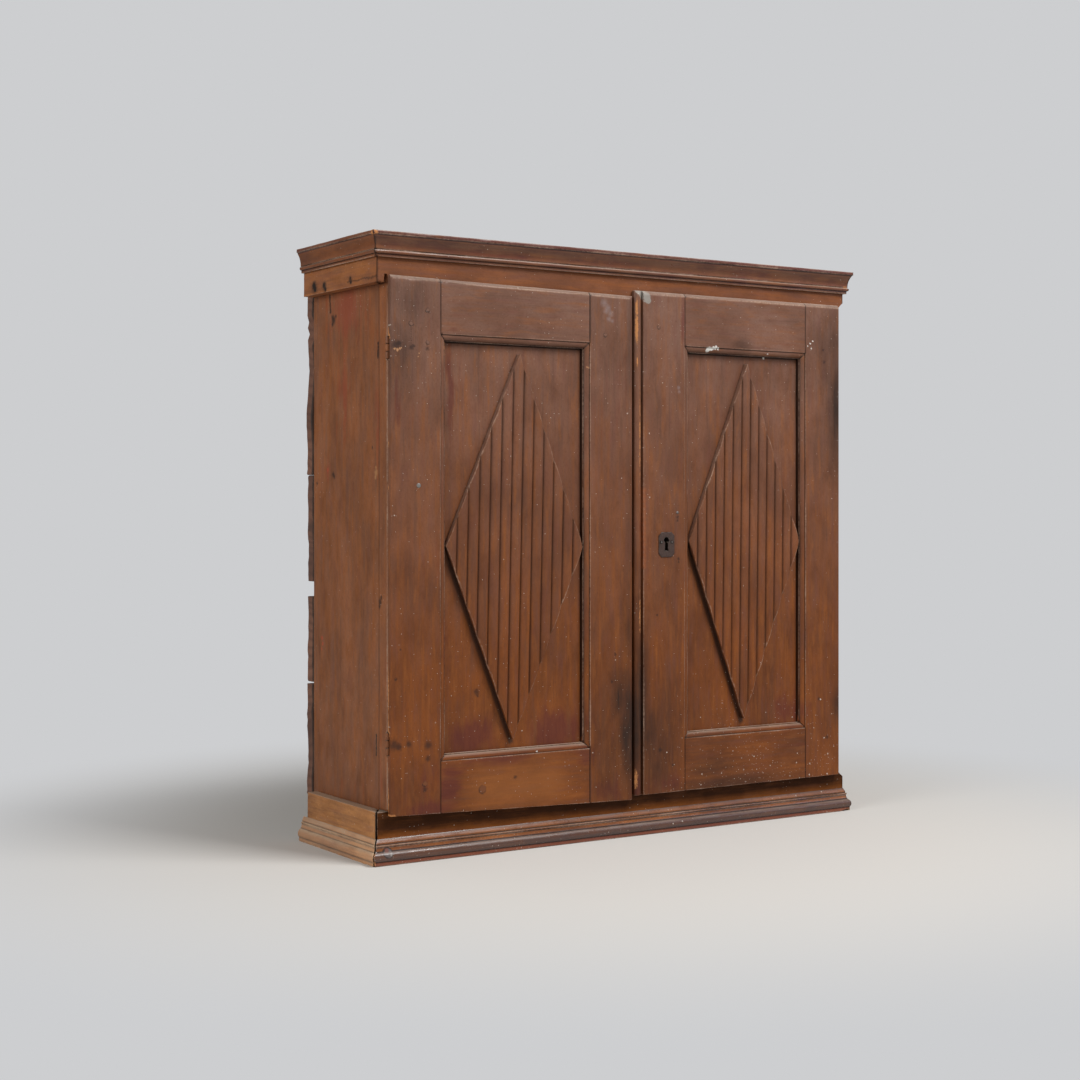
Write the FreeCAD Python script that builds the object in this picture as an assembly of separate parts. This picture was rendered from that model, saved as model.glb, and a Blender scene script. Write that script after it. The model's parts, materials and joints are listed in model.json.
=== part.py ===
"""Wall cabinet of painted pine: lipped frame-and-panel doors with reeded lozenges, moulded cornice and base.

Millimetres. +Z is up, the doors face -Y, and +X is to the right of someone facing the doors.
The origin is at the floor, in the middle of the cabinet's width and depth.
"""
import FreeCAD, Part
import math
import os

from FreeCAD import Vector

# Carcass
cabinet_height = 860.0
carcass_width = 808.0
carcass_depth = 227.0
side_thickness = 22.0
front_board_thickness = 24.0
apron_thickness = 16.0
top_thickness = 22.0
bottom_thickness = 22.0
edge_strip_width = 22.0
plinth_height = 72.0
side_plinth_setback = 12.0
frieze_drop = 68.5
open_mitre = 3.0

# Shelves, on square cleats
shelf_thickness = 18.0
shelf_door_gap = 8.0
shelf_end_play = 0.5
lower_shelf_height = 305.0
upper_shelf_height = 548.0
cleat_section = 20.0
cleat_end_margin = 12.0

# Back boards, nailed on behind the sides: heights from the floor up and the gap over each; the top one fills up
back_thickness = 20.0
back_top_inset = 3.0
back_floor_gap = 5.0
back_board_heights = (59.0, 162.0, 125.0, 155.5)
back_board_gaps = (0.5, 3.0, 22.0, 0.5)
back_board_end_inset = 1.0

# Cornice, in levels from its foot up and distances from the frieze's face
cornice_foot_height = 4.0
cornice_bead_height = 5.5
cornice_quirk_height = 3.4
cornice_cove_height = 16.2
cornice_fillet_height = 5.5
cornice_foot_projection = 4.4
cornice_cove_start = 5.6
cornice_fillet_step = 1.0
cornice_projection = 12.0

# Base moulding, in levels from the floor up and distances from the plinth's face
base_foot_height = 6.0
base_swell_height = 12.5
base_hollow_height = 6.5
base_lower_fillet = 3.0
base_upper_fillet = 2.5
base_ledge_rise = 5.5
base_foot_projection = 8.2
base_swell_projection = 10.0
base_hollow_projection = 5.6
base_lower_fillet_projection = 4.6
base_fillet_step = 0.8
base_upper_fillet_projection = 3.0

# Doors
door_thickness = 22.0
lip_thickness = 8.9
lip_gap = 0.8
lap_top = 14.0
lap_bottom = 12.5
body_play = 1.5
door_edge_inset = 0.3
meeting_gap = 3.0
meeting_line = 3.0
top_rail_width = 79.0
bottom_rail_width = 79.0
left_hinge_stile_width = 78.0
left_meeting_stile_width = 78.5
right_hinge_stile_width = 70.5
right_meeting_stile_width = 91.5

# The left door has dropped and is out of square; these are measured from the right door's edges
left_rail_drop = 2.7
left_top_drop_at_hinge = 4.0
left_top_drop_at_meeting = 9.0
left_bottom_rise_at_hinge = 6.5
left_bottom_drop_at_meeting = 5.5

# Edges of the doors
top_chamfer_height = 4.5
top_chamfer_depth = 3.5
outer_arris_radius = 2.0
meeting_round_width = 9.0
meeting_round_depth = 4.5
bead_radius = 6.0
quirk_width = 2.5
quirk_depth = 4.5

# Moulding worked on the inner edges of the door frames
moulding_width = 9.0
moulding_depth = 5.0
moulding_step = 1.3

# Panels and lozenges
panel_sink = 11.0
panel_thickness = 8.0
panel_tongue = 6.0
lozenge_thickness = 10.0
lozenge_tip_gap = 1.0
lozenge_end_margin = 12.0
left_lozenge_tilt = 1.2
right_lozenge_tilt = 0.7
reed_count = 13
reed_rise = 3.3

# Hinges: cranked straps with a three-part knuckle in the seam at the outer edge
hinge_from_top = 103.0
hinge_from_bottom = 104.5
hinge_leaf_thickness = 2.0
hinge_leaf_height = 30.0
hinge_strap_length = 44.0
hinge_fixed_leaf_margin = 2.0
hinge_knuckle_radius = 3.5
hinge_pin_radius = 1.5
hinge_pin_play = 0.05
knuckle_play = 0.4

# Keyhole, with its plate and two nails
keyhole_from_edge = 56.5
keyhole_height = 436.0
keyhole_radius = 4.4
keyhole_neck_width = 4.4
keyhole_foot_width = 5.6
keyhole_slot_drop = 15.5
escutcheon_width = 29.5
escutcheon_height = 37.5
escutcheon_thickness = 1.2
escutcheon_corner = 5.5
escutcheon_below_hole = 25.4
escutcheon_nail_radius = 1.8
escutcheon_nail_head = 0.9
escutcheon_nail_spread = 9.6
escutcheon_nail_drop = 3.0

# Lock on the inside of the right door
lock_case_edge_inset = 2.0
lock_case_thickness = 14.0
lock_case_below_hole = 40.0
lock_case_wall = 8.0
lock_case_end_room = 24.0
lock_cover_thickness = 2.5
lock_bolt_height = 15.0
lock_bolt_thickness = 8.0
lock_bolt_length = 58.0
lock_bolt_above_hole = 12.0
lock_bolt_play = 0.4

# Bolt on the inside of the left door, which goes up behind the frieze
catch_from_edge = 41.0
catch_plate_width = 26.0
catch_plate_thickness = 2.0
catch_plate_length = 92.0
catch_plate_margin = 2.0
catch_rod_radius = 4.0
catch_rod_play = 0.06
catch_rod_below_frieze = 4.0
catch_frieze_play = 0.8
catch_keeper_width = 16.0
catch_keeper_height = 9.0
catch_keeper_inset = 8.0
catch_keeper_wall = 4.0
catch_knob_radius = 4.0
catch_knob_length = 10.0
catch_knob_play = 0.3

# Places worked out from the sizes above
half_width = carcass_width / 2
door_reach = lip_gap + lip_thickness + escutcheon_thickness + escutcheon_nail_head
front_reach = max(cornice_projection, door_reach)
rear = (back_thickness + carcass_depth + front_reach) / 2
carcass_back = rear - back_thickness
carcass_front = carcass_back - carcass_depth
board_back = carcass_front + front_board_thickness
apron_half_width = half_width + apron_thickness
top_board_low = cabinet_height - top_thickness
opening_top = cabinet_height - frieze_drop
opening_bottom = plinth_height
opening_half_width = half_width - edge_strip_width
inner_half_width = half_width - side_thickness

lip_back = carcass_front - lip_gap
door_front = lip_back - lip_thickness
door_back = door_front + door_thickness
door_top = opening_top + lap_top
door_bottom = opening_bottom - lap_bottom
body_top = opening_top - body_play
body_bottom = opening_bottom + body_play
body_edge = -opening_half_width + body_play
panel_front = door_front + panel_sink
hinge_edge = -half_width + door_edge_inset
left_meeting_edge = meeting_line - meeting_gap / 2
right_meeting_edge = meeting_line + meeting_gap / 2
shelf_front = door_back + lock_case_thickness + shelf_door_gap

hinge_axis_x = -half_width
hinge_axis_y = carcass_front - lip_gap / 2
hinge_levels = (door_top - hinge_from_top, door_bottom + hinge_from_bottom)

keyhole_x = right_meeting_edge + keyhole_from_edge
lock_case_left = right_meeting_edge + lock_case_edge_inset
lock_bolt_low = keyhole_height + lock_bolt_above_hole
lock_bolt_front = door_back + (lock_case_thickness - lock_bolt_thickness) / 2

catch_x = left_meeting_edge - catch_from_edge
catch_rod_y = board_back + catch_frieze_play + catch_rod_radius
catch_rod_top = opening_top - catch_rod_below_frieze
catch_plate_high = body_top - catch_plate_margin
catch_plate_low = catch_plate_high - catch_plate_length
catch_lower_keeper = catch_plate_low + catch_keeper_inset
catch_upper_keeper = catch_plate_high - catch_keeper_inset - catch_keeper_height

# How far a cutting shape runs past what it cuts
OVERRUN = 30.0

# Where the middle of a moulding's curve lies, as shares of its width and height
COVE_MIDDLE = 0.28
SWELL_MIDDLE = 0.45
HOLLOW_MIDDLE = 0.3
OVOLO_MIDDLE = (0.66, 0.3)


# Shapes used by several pieces

def box(x_low, x_high, y_low, y_high, z_low, z_high):
    corner = Vector(x_low, y_low, z_low)
    return Part.makeBox(x_high - x_low, y_high - y_low, z_high - z_low, corner)


def prism(corners, sweep):
    """Polygon through the corners, extruded along the sweep vector."""
    return Part.Face(Part.makePolygon(list(corners) + [corners[0]])).extrude(sweep)


def plan_prism(corners, z_low, z_high):
    return prism([Vector(x, y, z_low) for x, y in corners], Vector(0, 0, z_high - z_low))


def front_prism(corners, y_low, y_high):
    return prism([Vector(x, y_low, z) for x, z in corners], Vector(0, y_high - y_low, 0))


def section(start, steps, place):
    """Closed face from a start point and steps back to it.

    A step is an end point, for a straight line, or a middle and an end point, for an arc.
    """
    edges = []
    here = place(*start)
    for step in steps + [start]:
        end = place(*step[-2:])
        if len(step) == 2:
            edges.append(Part.LineSegment(here, end).toShape())
        else:
            edges.append(Part.Arc(here, place(*step[:2]), end).toShape())
        here = end
    return Part.Face(Part.Wire(edges))


def upright_cylinder(radius, x, y, z_low, height):
    return Part.makeCylinder(radius, height, Vector(x, y, z_low), Vector(0, 0, 1))


def level_cylinder(radius, x, z, y_low, length):
    return Part.makeCylinder(radius, length, Vector(x, y_low, z), Vector(0, 1, 0))


def mirrored(shape):
    return shape.mirror(Vector(0, 0, 0), Vector(1, 0, 0))


# Carcass boards

def side_board():
    return box(-half_width, -inner_half_width, board_back, carcass_back, 0, top_board_low)


def top_board():
    return box(-apron_half_width, apron_half_width, carcass_front, carcass_back, top_board_low, cabinet_height)


def bottom_board():
    low = plinth_height - bottom_thickness
    return box(-inner_half_width, inner_half_width, board_back, carcass_back, low, plinth_height)


def shelf(height):
    reach = inner_half_width - shelf_end_play
    return box(-reach, reach, shelf_front, carcass_back, height, height + shelf_thickness)


def shelf_cleats():
    """Square battens under both shelves, one on each side board."""
    cleats = []
    for height in (lower_shelf_height, upper_shelf_height):
        left = box(-inner_half_width, cleat_section - inner_half_width, shelf_front + cleat_end_margin,
                   carcass_back - cleat_end_margin, height - cleat_section, height)
        cleats += [left, mirrored(left)]
    return Part.makeCompound(cleats)


def back_boards():
    """Boards from the floor up, with a wide gap where one has shrunk or been moved."""
    reach = half_width - back_board_end_inset
    low = back_floor_gap
    boards = []
    for height, gap in zip(back_board_heights, back_board_gaps):
        boards.append(box(-reach, reach, carcass_back, rear, low, low + height))
        low += height + gap
    boards.append(box(-reach, reach, carcass_back, rear, low, cabinet_height - back_top_inset))
    return boards


def edge_strip():
    """Strip on the front edge of a side board, let out for the hinges' fixed leaves and knuckles."""
    strip = box(-half_width, -opening_half_width, carcass_front, board_back, opening_bottom, opening_top)
    for level in hinge_levels:
        strip = strip.cut(fixed_leaf_plate(level)).cut(knuckle_seat(level))
    return strip


# Frieze and plinth: a front board and two side boards, mitred at the front corners

def front_apron(z_low, z_high):
    corners = [(-apron_half_width, carcass_front), (apron_half_width, carcass_front),
               (half_width, board_back), (-half_width, board_back)]
    return plan_prism(corners, z_low, z_high)


def side_apron(z_low, z_high, mitre_gap, setback):
    end = carcass_back - setback
    corners = [(-apron_half_width, carcass_front + mitre_gap), (-half_width, board_back + mitre_gap),
               (-half_width, end), (-apron_half_width, end)]
    return plan_prism(corners, z_low, z_high)


# Cornice and base mouldings, mitred at the front corners

def cornice_section(place):
    """Foot fillet, bead, quirk, cove and top fillet, as distances out and up from the moulding's foot."""
    bead_low = cornice_foot_height
    bead_high = bead_low + cornice_bead_height
    cove_low = bead_high + cornice_quirk_height
    cove_high = cove_low + cornice_cove_height
    top = cove_high + cornice_fillet_height
    bead_out = cornice_foot_projection + cornice_bead_height / 2
    cove_end = cornice_projection - cornice_fillet_step
    cove_out = cornice_cove_start + (cove_end - cornice_cove_start) * COVE_MIDDLE
    steps = [(cornice_foot_projection, 0), (cornice_foot_projection, bead_low),
             (bead_out, (bead_low + bead_high) / 2, cornice_foot_projection, bead_high),
             (cornice_cove_start, bead_high), (cornice_cove_start, cove_low),
             (cove_out, (cove_low + cove_high) / 2, cove_end, cove_high),
             (cornice_projection, cove_high), (cornice_projection, top), (0, top)]
    return section((0, 0), steps, place), top


def base_section(place):
    """Square foot, swell, hollow, two fillets and a sloping ledge, as distances out and up from the floor."""
    swell_high = base_foot_height + base_swell_height
    hollow_high = swell_high + base_hollow_height
    lower_high = hollow_high + base_lower_fillet
    upper_high = lower_high + base_upper_fillet
    top = upper_high + base_ledge_rise
    swell_middle = (base_swell_projection, base_foot_height + base_swell_height * SWELL_MIDDLE)
    inner = base_lower_fillet_projection - base_fillet_step
    hollow_middle = (inner + (base_hollow_projection - inner) * HOLLOW_MIDDLE, (swell_high + hollow_high) / 2)
    steps = [(base_foot_projection, 0), (base_foot_projection, base_foot_height),
             (*swell_middle, base_hollow_projection, swell_high),
             (*hollow_middle, inner, hollow_high),
             (base_lower_fillet_projection, hollow_high), (base_lower_fillet_projection, lower_high),
             (base_upper_fillet_projection, lower_high), (base_upper_fillet_projection, upper_high), (0, top)]
    return section((0, 0), steps, place), top


def front_moulding(make_section, z_low):
    """Length across the front, cut to a mitre at both ends."""
    length = 2 * (apron_half_width + OVERRUN)
    face, height = make_section(lambda out, up: Vector(-length / 2, carcass_front - out, z_low + up))
    corners = [(-apron_half_width, carcass_front), (-apron_half_width - OVERRUN, carcass_front - OVERRUN),
               (apron_half_width + OVERRUN, carcass_front - OVERRUN), (apron_half_width, carcass_front)]
    return face.extrude(Vector(length, 0, 0)).common(plan_prism(corners, z_low, z_low + height))


def side_moulding(make_section, z_low, mitre_gap):
    """Length along the left side, cut to a mitre at its front end."""
    start = carcass_front - OVERRUN
    face, height = make_section(lambda out, up: Vector(-apron_half_width - out, start, z_low + up))
    corners = [(-apron_half_width, carcass_front + mitre_gap), (-apron_half_width, carcass_back),
               (-apron_half_width - OVERRUN, carcass_back), (-apron_half_width - OVERRUN, start + mitre_gap)]
    bar = face.extrude(Vector(0, carcass_back - start, 0))
    return bar.common(plan_prism(corners, z_low, z_low + height))


def cornice_foot():
    levels = (cornice_foot_height, cornice_bead_height, cornice_quirk_height, cornice_cove_height,
              cornice_fillet_height)
    return cabinet_height - sum(levels)


# Hinges, on the left; the right ones are their mirror images

def knuckle_part(radius, low, height):
    return upright_cylinder(radius, hinge_axis_x, hinge_axis_y, low, height)


def knuckle_seat(level):
    """Round seat in the door's edge and in the strip, clear of the whole knuckle."""
    low = level - hinge_leaf_height / 2 - knuckle_play
    return knuckle_part(hinge_knuckle_radius + knuckle_play, low, hinge_leaf_height + 2 * knuckle_play)


def fixed_leaf_plate(level):
    low = level - hinge_leaf_height / 2
    return box(hinge_axis_x, -opening_half_width - hinge_fixed_leaf_margin, carcass_front,
               carcass_front + hinge_leaf_thickness, low, low + hinge_leaf_height)


def fixed_leaf(level):
    """Leaf let into the edge strip, with the two outer knuckles and the pin."""
    low = level - hinge_leaf_height / 2
    third = hinge_leaf_height / 3
    barrel = knuckle_part(hinge_knuckle_radius, low, hinge_leaf_height)
    gap_height = third + 2 * knuckle_play
    middle_gap = knuckle_part(hinge_knuckle_radius + knuckle_play, low + third - knuckle_play, gap_height)
    pin = knuckle_part(hinge_pin_radius, low, hinge_leaf_height)
    return fixed_leaf_plate(level).fuse(barrel).cut(middle_gap).fuse(pin).removeSplitter()


def strap_plate(level):
    """Strap cranked round the door's rebate, from the knuckle to the door's inner face."""
    low = level - hinge_leaf_height / 2
    inner_x = body_edge + hinge_leaf_thickness
    strap_end = body_edge + hinge_strap_length
    strap_back = door_back + hinge_leaf_thickness
    lip_seat = lip_back - hinge_leaf_thickness
    corners = [(hinge_axis_x, lip_seat), (inner_x, lip_seat), (inner_x, door_back),
               (strap_end, door_back), (strap_end, strap_back), (body_edge, strap_back),
               (body_edge, lip_back), (hinge_axis_x, lip_back)]
    return plan_prism(corners, low, low + hinge_leaf_height)


def hinge_strap(level):
    """Door leaf: the cranked strap with the middle knuckle, bored for the pin."""
    low = level - hinge_leaf_height / 2
    third = hinge_leaf_height / 3
    outer_radius = hinge_knuckle_radius + knuckle_play
    outer_gaps = knuckle_part(outer_radius, low, third).fuse(knuckle_part(outer_radius, low + 2 * third, third))
    knuckle = knuckle_part(hinge_knuckle_radius, low + third, third)
    bore = knuckle_part(hinge_pin_radius + hinge_pin_play, low, hinge_leaf_height)
    return strap_plate(level).cut(outer_gaps).fuse(knuckle).cut(bore).removeSplitter()


def at_each_hinge(make_leaf):
    return Part.makeCompound([make_leaf(level) for level in hinge_levels])


# Doors, made as for the left-hand side; the right door is mirrored afterwards

class DoorPlan:
    """Lines of one door: edges, joints between stiles and rails, and the sight lines round its panel."""

    def __init__(self, meeting_edge, hinge_stile, meeting_stile, rail_drop, top_drops, bottom_rises, tilt):
        self.meeting_edge = meeting_edge
        self.hinge_joint = hinge_edge + hinge_stile
        self.meeting_joint = meeting_edge - meeting_stile
        self.rail_top = door_top - top_rail_width - rail_drop
        self.rail_bottom = door_bottom + bottom_rail_width - rail_drop
        self.top_at_hinge = door_top - top_drops[0]
        self.top_at_meeting = door_top - top_drops[1]
        self.bottom_at_hinge = door_bottom + bottom_rises[0]
        self.bottom_at_meeting = door_bottom + bottom_rises[1]
        self.tilt = tilt
        self.sight_left = self.hinge_joint + moulding_width
        self.sight_right = self.meeting_joint - moulding_width
        self.sight_top = self.rail_top - moulding_width
        self.sight_bottom = self.rail_bottom + moulding_width


def left_plan():
    return DoorPlan(left_meeting_edge, left_hinge_stile_width, left_meeting_stile_width, left_rail_drop,
                    (left_top_drop_at_hinge, left_top_drop_at_meeting),
                    (left_bottom_rise_at_hinge, -left_bottom_drop_at_meeting), left_lozenge_tilt)


def right_plan():
    """The right door before it is mirrored, so its lozenge leans the other way."""
    return DoorPlan(-right_meeting_edge, right_hinge_stile_width, right_meeting_stile_width, 0, (0, 0), (0, 0),
                    -right_lozenge_tilt)


def door_outline(plan):
    corners = [(hinge_edge, plan.bottom_at_hinge), (plan.meeting_edge, plan.bottom_at_meeting),
               (plan.meeting_edge, plan.top_at_meeting), (hinge_edge, plan.top_at_hinge)]
    return front_prism(corners, door_front, door_back)


def door_rebate(plan):
    """What is cut away behind the lip, so that the body of the door goes into the opening."""
    end = plan.meeting_edge + OVERRUN
    around = box(hinge_edge - OVERRUN, end, lip_back, door_back, door_bottom - OVERRUN, door_top + OVERRUN)
    body = box(body_edge, end, lip_back, door_back, body_bottom, body_top)
    return around.cut(body)


def top_chamfer(plan):
    """Bevel along the door's top arris, which falls with it."""
    run = plan.meeting_edge - hinge_edge
    slope = (plan.top_at_meeting - plan.top_at_hinge) / run
    start_x = hinge_edge - OVERRUN
    top = plan.top_at_hinge - slope * OVERRUN
    corners = [(door_front, top - top_chamfer_height), (door_front - OVERRUN, top - top_chamfer_height),
               (door_front - OVERRUN, top + OVERRUN), (door_front + top_chamfer_depth, top + OVERRUN),
               (door_front + top_chamfer_depth, top)]
    length = run + 2 * OVERRUN
    return prism([Vector(start_x, y, z) for y, z in corners], Vector(length, 0, slope * length))


def upright_cutter(start, steps, edge, inward):
    """Cutter along an upright edge, its section in distances in from the edge and back from the door's face."""
    low = door_bottom - OVERRUN
    face = section(start, steps, lambda along, deep: Vector(edge + inward * along, door_front + deep, low))
    return face.extrude(Vector(0, 0, door_top + OVERRUN - low))


def round_over(width, depth):
    """Steps that take a corner off with an arc tangent to the face, a quarter circle for equal sizes."""
    radius = (width ** 2 + depth ** 2) / (2 * depth)
    half_turn = math.atan2(width, radius - depth) / 2
    middle = (width - radius * math.sin(half_turn), radius * (1 - math.cos(half_turn)))
    return [(width, 0), (*middle, 0, depth)]


def meeting_bead(edge):
    """Works a bead on the meeting edge, with a quirk between it and the stile's face."""
    corner = bead_radius * (1 - math.sqrt(0.5))
    quirk_end = 2 * bead_radius + quirk_width
    foot = bead_radius + math.sqrt(bead_radius ** 2 - (bead_radius - quirk_depth) ** 2)
    steps = [(quirk_end, quirk_depth), (foot, quirk_depth), (2 * bead_radius - corner, corner, bead_radius, 0)]
    quirk = upright_cutter((quirk_end, 0), steps, edge, -1)
    return quirk.fuse(upright_cutter((0, 0), round_over(bead_radius, bead_radius), edge, -1))


def inner_moulding(joint, inward, sweep):
    """Works the moulding along a frame member's inner edge: a small step, an ovolo and a fillet."""
    ovolo_end = moulding_width - moulding_step
    swell_along = moulding_step + (ovolo_end - moulding_step) * OVOLO_MIDDLE[0]
    swell_deep = moulding_step + (moulding_depth - moulding_step) * OVOLO_MIDDLE[1]
    steps = [(0, moulding_step), (moulding_step, moulding_step),
             (swell_along, swell_deep, ovolo_end, moulding_depth),
             (moulding_width + OVERRUN, moulding_depth), (moulding_width + OVERRUN, 0)]
    face = section((0, 0), steps, lambda along, deep: joint + inward * along + Vector(0, deep, 0))
    return face.extrude(sweep)


def frame_member(plan, corners, joint, inward, sweep):
    """One stile or rail: its outline, trimmed to the door, rebated, grooved for the panel and moulded."""
    member = front_prism(corners, door_front, door_back).common(door_outline(plan))
    member = member.cut(door_rebate(plan)).cut(top_chamfer(plan)).cut(door_panel(plan))
    return member.cut(inner_moulding(joint, inward, sweep))


def stile(plan, outer, joint, sight):
    """Upright, with its moulded strip between the rails, mitred to theirs."""
    low = door_bottom - OVERRUN
    high = door_top + OVERRUN
    corners = [(outer, low), (joint, low), (joint, plan.rail_bottom), (sight, plan.sight_bottom),
               (sight, plan.sight_top), (joint, plan.rail_top), (joint, high), (outer, high)]
    inward = Vector(math.copysign(1, sight - joint), 0, 0)
    sweep = Vector(0, 0, plan.rail_top - plan.rail_bottom)
    return frame_member(plan, corners, Vector(joint, door_front, plan.rail_bottom), inward, sweep)


def hinge_stile(plan):
    arris = upright_cutter((0, 0), round_over(outer_arris_radius, outer_arris_radius), hinge_edge, 1)
    shape = stile(plan, hinge_edge, plan.hinge_joint, plan.sight_left).cut(arris)
    for level in hinge_levels:
        shape = shape.cut(strap_plate(level)).cut(knuckle_seat(level))
    return shape


def meeting_stile(plan, edge_cutter):
    return stile(plan, plan.meeting_edge, plan.meeting_joint, plan.sight_right).cut(edge_cutter)


def rail(plan, outer, edge, sight):
    """Cross-piece between the stiles' joints, with its moulded strip mitred to theirs."""
    corners = [(plan.hinge_joint, outer), (plan.meeting_joint, outer), (plan.meeting_joint, edge),
               (plan.sight_right, sight), (plan.sight_left, sight), (plan.hinge_joint, edge)]
    inward = Vector(0, 0, math.copysign(1, sight - edge))
    sweep = Vector(plan.meeting_joint - plan.hinge_joint, 0, 0)
    return frame_member(plan, corners, Vector(plan.hinge_joint, door_front, edge), inward, sweep)


def door_panel(plan):
    return box(plan.sight_left - panel_tongue, plan.sight_right + panel_tongue, panel_front,
               panel_front + panel_thickness, plan.sight_bottom - panel_tongue, plan.sight_top + panel_tongue)


def lozenge(plan):
    """Rhombus planted on the panel, its face worked into upright reeds that meet in sharp grooves."""
    middle_x = (plan.sight_left + plan.sight_right) / 2
    middle_z = (plan.sight_bottom + plan.sight_top) / 2
    half_wide = (plan.sight_right - plan.sight_left) / 2 - lozenge_tip_gap
    half_high = (plan.sight_top - plan.sight_bottom) / 2 - lozenge_end_margin
    face = panel_front - lozenge_thickness
    pitch = 2 * half_wide / reed_count
    steps = [(-half_wide, reed_rise)]
    for index in range(reed_count):
        start = index * pitch - half_wide
        steps.append((start + pitch / 2, 0, start + pitch, reed_rise))
    steps.append((half_wide, lozenge_thickness))
    reeds = section((-half_wide, lozenge_thickness), steps,
                    lambda across, deep: Vector(middle_x + across, face + deep, middle_z - half_high))
    corners = [(middle_x - half_wide, middle_z), (middle_x, middle_z - half_high),
               (middle_x + half_wide, middle_z), (middle_x, middle_z + half_high)]
    rhombus = front_prism(corners, face, panel_front)
    shape = reeds.extrude(Vector(0, 0, 2 * half_high)).common(rhombus)
    shape.rotate(Vector(middle_x, face, middle_z), Vector(0, 1, 0), plan.tilt)
    return shape


# Keyhole plate and lock of the right door, in place

def keyhole(y_low, y_high):
    """Round hole with a slot that widens downwards."""
    half_neck = keyhole_neck_width / 2
    half_foot = keyhole_foot_width / 2
    foot = keyhole_height - keyhole_slot_drop
    slot = front_prism([(keyhole_x - half_neck, keyhole_height), (keyhole_x - half_foot, foot),
                        (keyhole_x + half_foot, foot), (keyhole_x + half_neck, keyhole_height)], y_low, y_high)
    return level_cylinder(keyhole_radius, keyhole_x, keyhole_height, y_low, y_high - y_low).fuse(slot)


def escutcheon():
    """Iron plate with clipped corners and a keyhole."""
    low = keyhole_height - escutcheon_below_hole
    high = low + escutcheon_height
    left = keyhole_x - escutcheon_width / 2
    right = keyhole_x + escutcheon_width / 2
    clip = escutcheon_corner
    corners = [(left + clip, low), (right - clip, low), (right, low + clip), (right, high - clip),
               (right - clip, high), (left + clip, high), (left, high - clip), (left, low + clip)]
    plate = front_prism(corners, door_front - escutcheon_thickness, door_front)
    return plate.cut(keyhole(door_front - OVERRUN, door_front + OVERRUN))


def escutcheon_nails():
    """Two low round heads on the plate, one at each side."""
    face = door_front - escutcheon_thickness
    rise = escutcheon_nail_head
    ball = (escutcheon_nail_radius ** 2 + rise ** 2) / (2 * rise)
    heads = []
    for side in (-1, 1):
        centre = Vector(keyhole_x + side * escutcheon_nail_spread, face - rise + ball,
                        keyhole_height - escutcheon_nail_drop)
        keep = box(centre.x - ball, centre.x + ball, face - ball, face, centre.z - ball, centre.z + ball)
        heads.append(Part.makeSphere(ball, centre).common(keep))
    return Part.makeCompound(heads)


def lock_case():
    """Iron rim lock: a case with a slot for the bolt and a recess for the key."""
    low = keyhole_height - lock_case_below_hole
    high = lock_bolt_low + lock_bolt_height + lock_case_wall
    slot_end = lock_case_left + lock_bolt_length + lock_bolt_play
    back = door_back + lock_case_thickness
    case = box(lock_case_left, slot_end + lock_case_end_room, door_back, back, low, high)
    slot = box(lock_case_left - OVERRUN, slot_end,
               lock_bolt_front - lock_bolt_play, lock_bolt_front + lock_bolt_thickness + lock_bolt_play,
               lock_bolt_low - lock_bolt_play, lock_bolt_low + lock_bolt_height + lock_bolt_play)
    return case.cut(slot).cut(keyhole(door_back - OVERRUN, back - lock_cover_thickness))


def lock_bolt():
    """Bolt at rest, drawn back level with the case."""
    return box(lock_case_left, lock_case_left + lock_bolt_length, lock_bolt_front,
               lock_bolt_front + lock_bolt_thickness, lock_bolt_low, lock_bolt_low + lock_bolt_height)


# Upright bolt of the left door, in place

def catch_plate():
    """Plate on the door's inner face with two keepers that guide the rod."""
    plate_back = door_back + catch_plate_thickness
    half_plate = catch_plate_width / 2
    half_keeper = catch_keeper_width / 2
    keeper_back = catch_rod_y + catch_rod_radius + catch_keeper_wall
    shape = box(catch_x - half_plate, catch_x + half_plate, door_back, plate_back,
                catch_plate_low, catch_plate_high)
    for low in (catch_lower_keeper, catch_upper_keeper):
        keeper = box(catch_x - half_keeper, catch_x + half_keeper, plate_back, keeper_back, low,
                     low + catch_keeper_height)
        shape = shape.fuse(keeper)
    bore = upright_cylinder(catch_rod_radius + catch_rod_play, catch_x, catch_rod_y, catch_plate_low,
                            catch_plate_length)
    return shape.cut(bore).removeSplitter()


def catch_rod():
    """Round rod at rest, drawn down, with a knob just above the lower keeper."""
    rod_length = catch_rod_top - catch_plate_low
    rod = upright_cylinder(catch_rod_radius, catch_x, catch_rod_y, catch_plate_low, rod_length)
    knob_height = catch_lower_keeper + catch_keeper_height + catch_knob_play + catch_knob_radius
    knob_reach = catch_rod_radius + catch_knob_length
    knob = level_cylinder(catch_knob_radius, catch_x, knob_height, catch_rod_y, knob_reach)
    return rod.fuse(knob)


# All pieces by name

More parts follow.
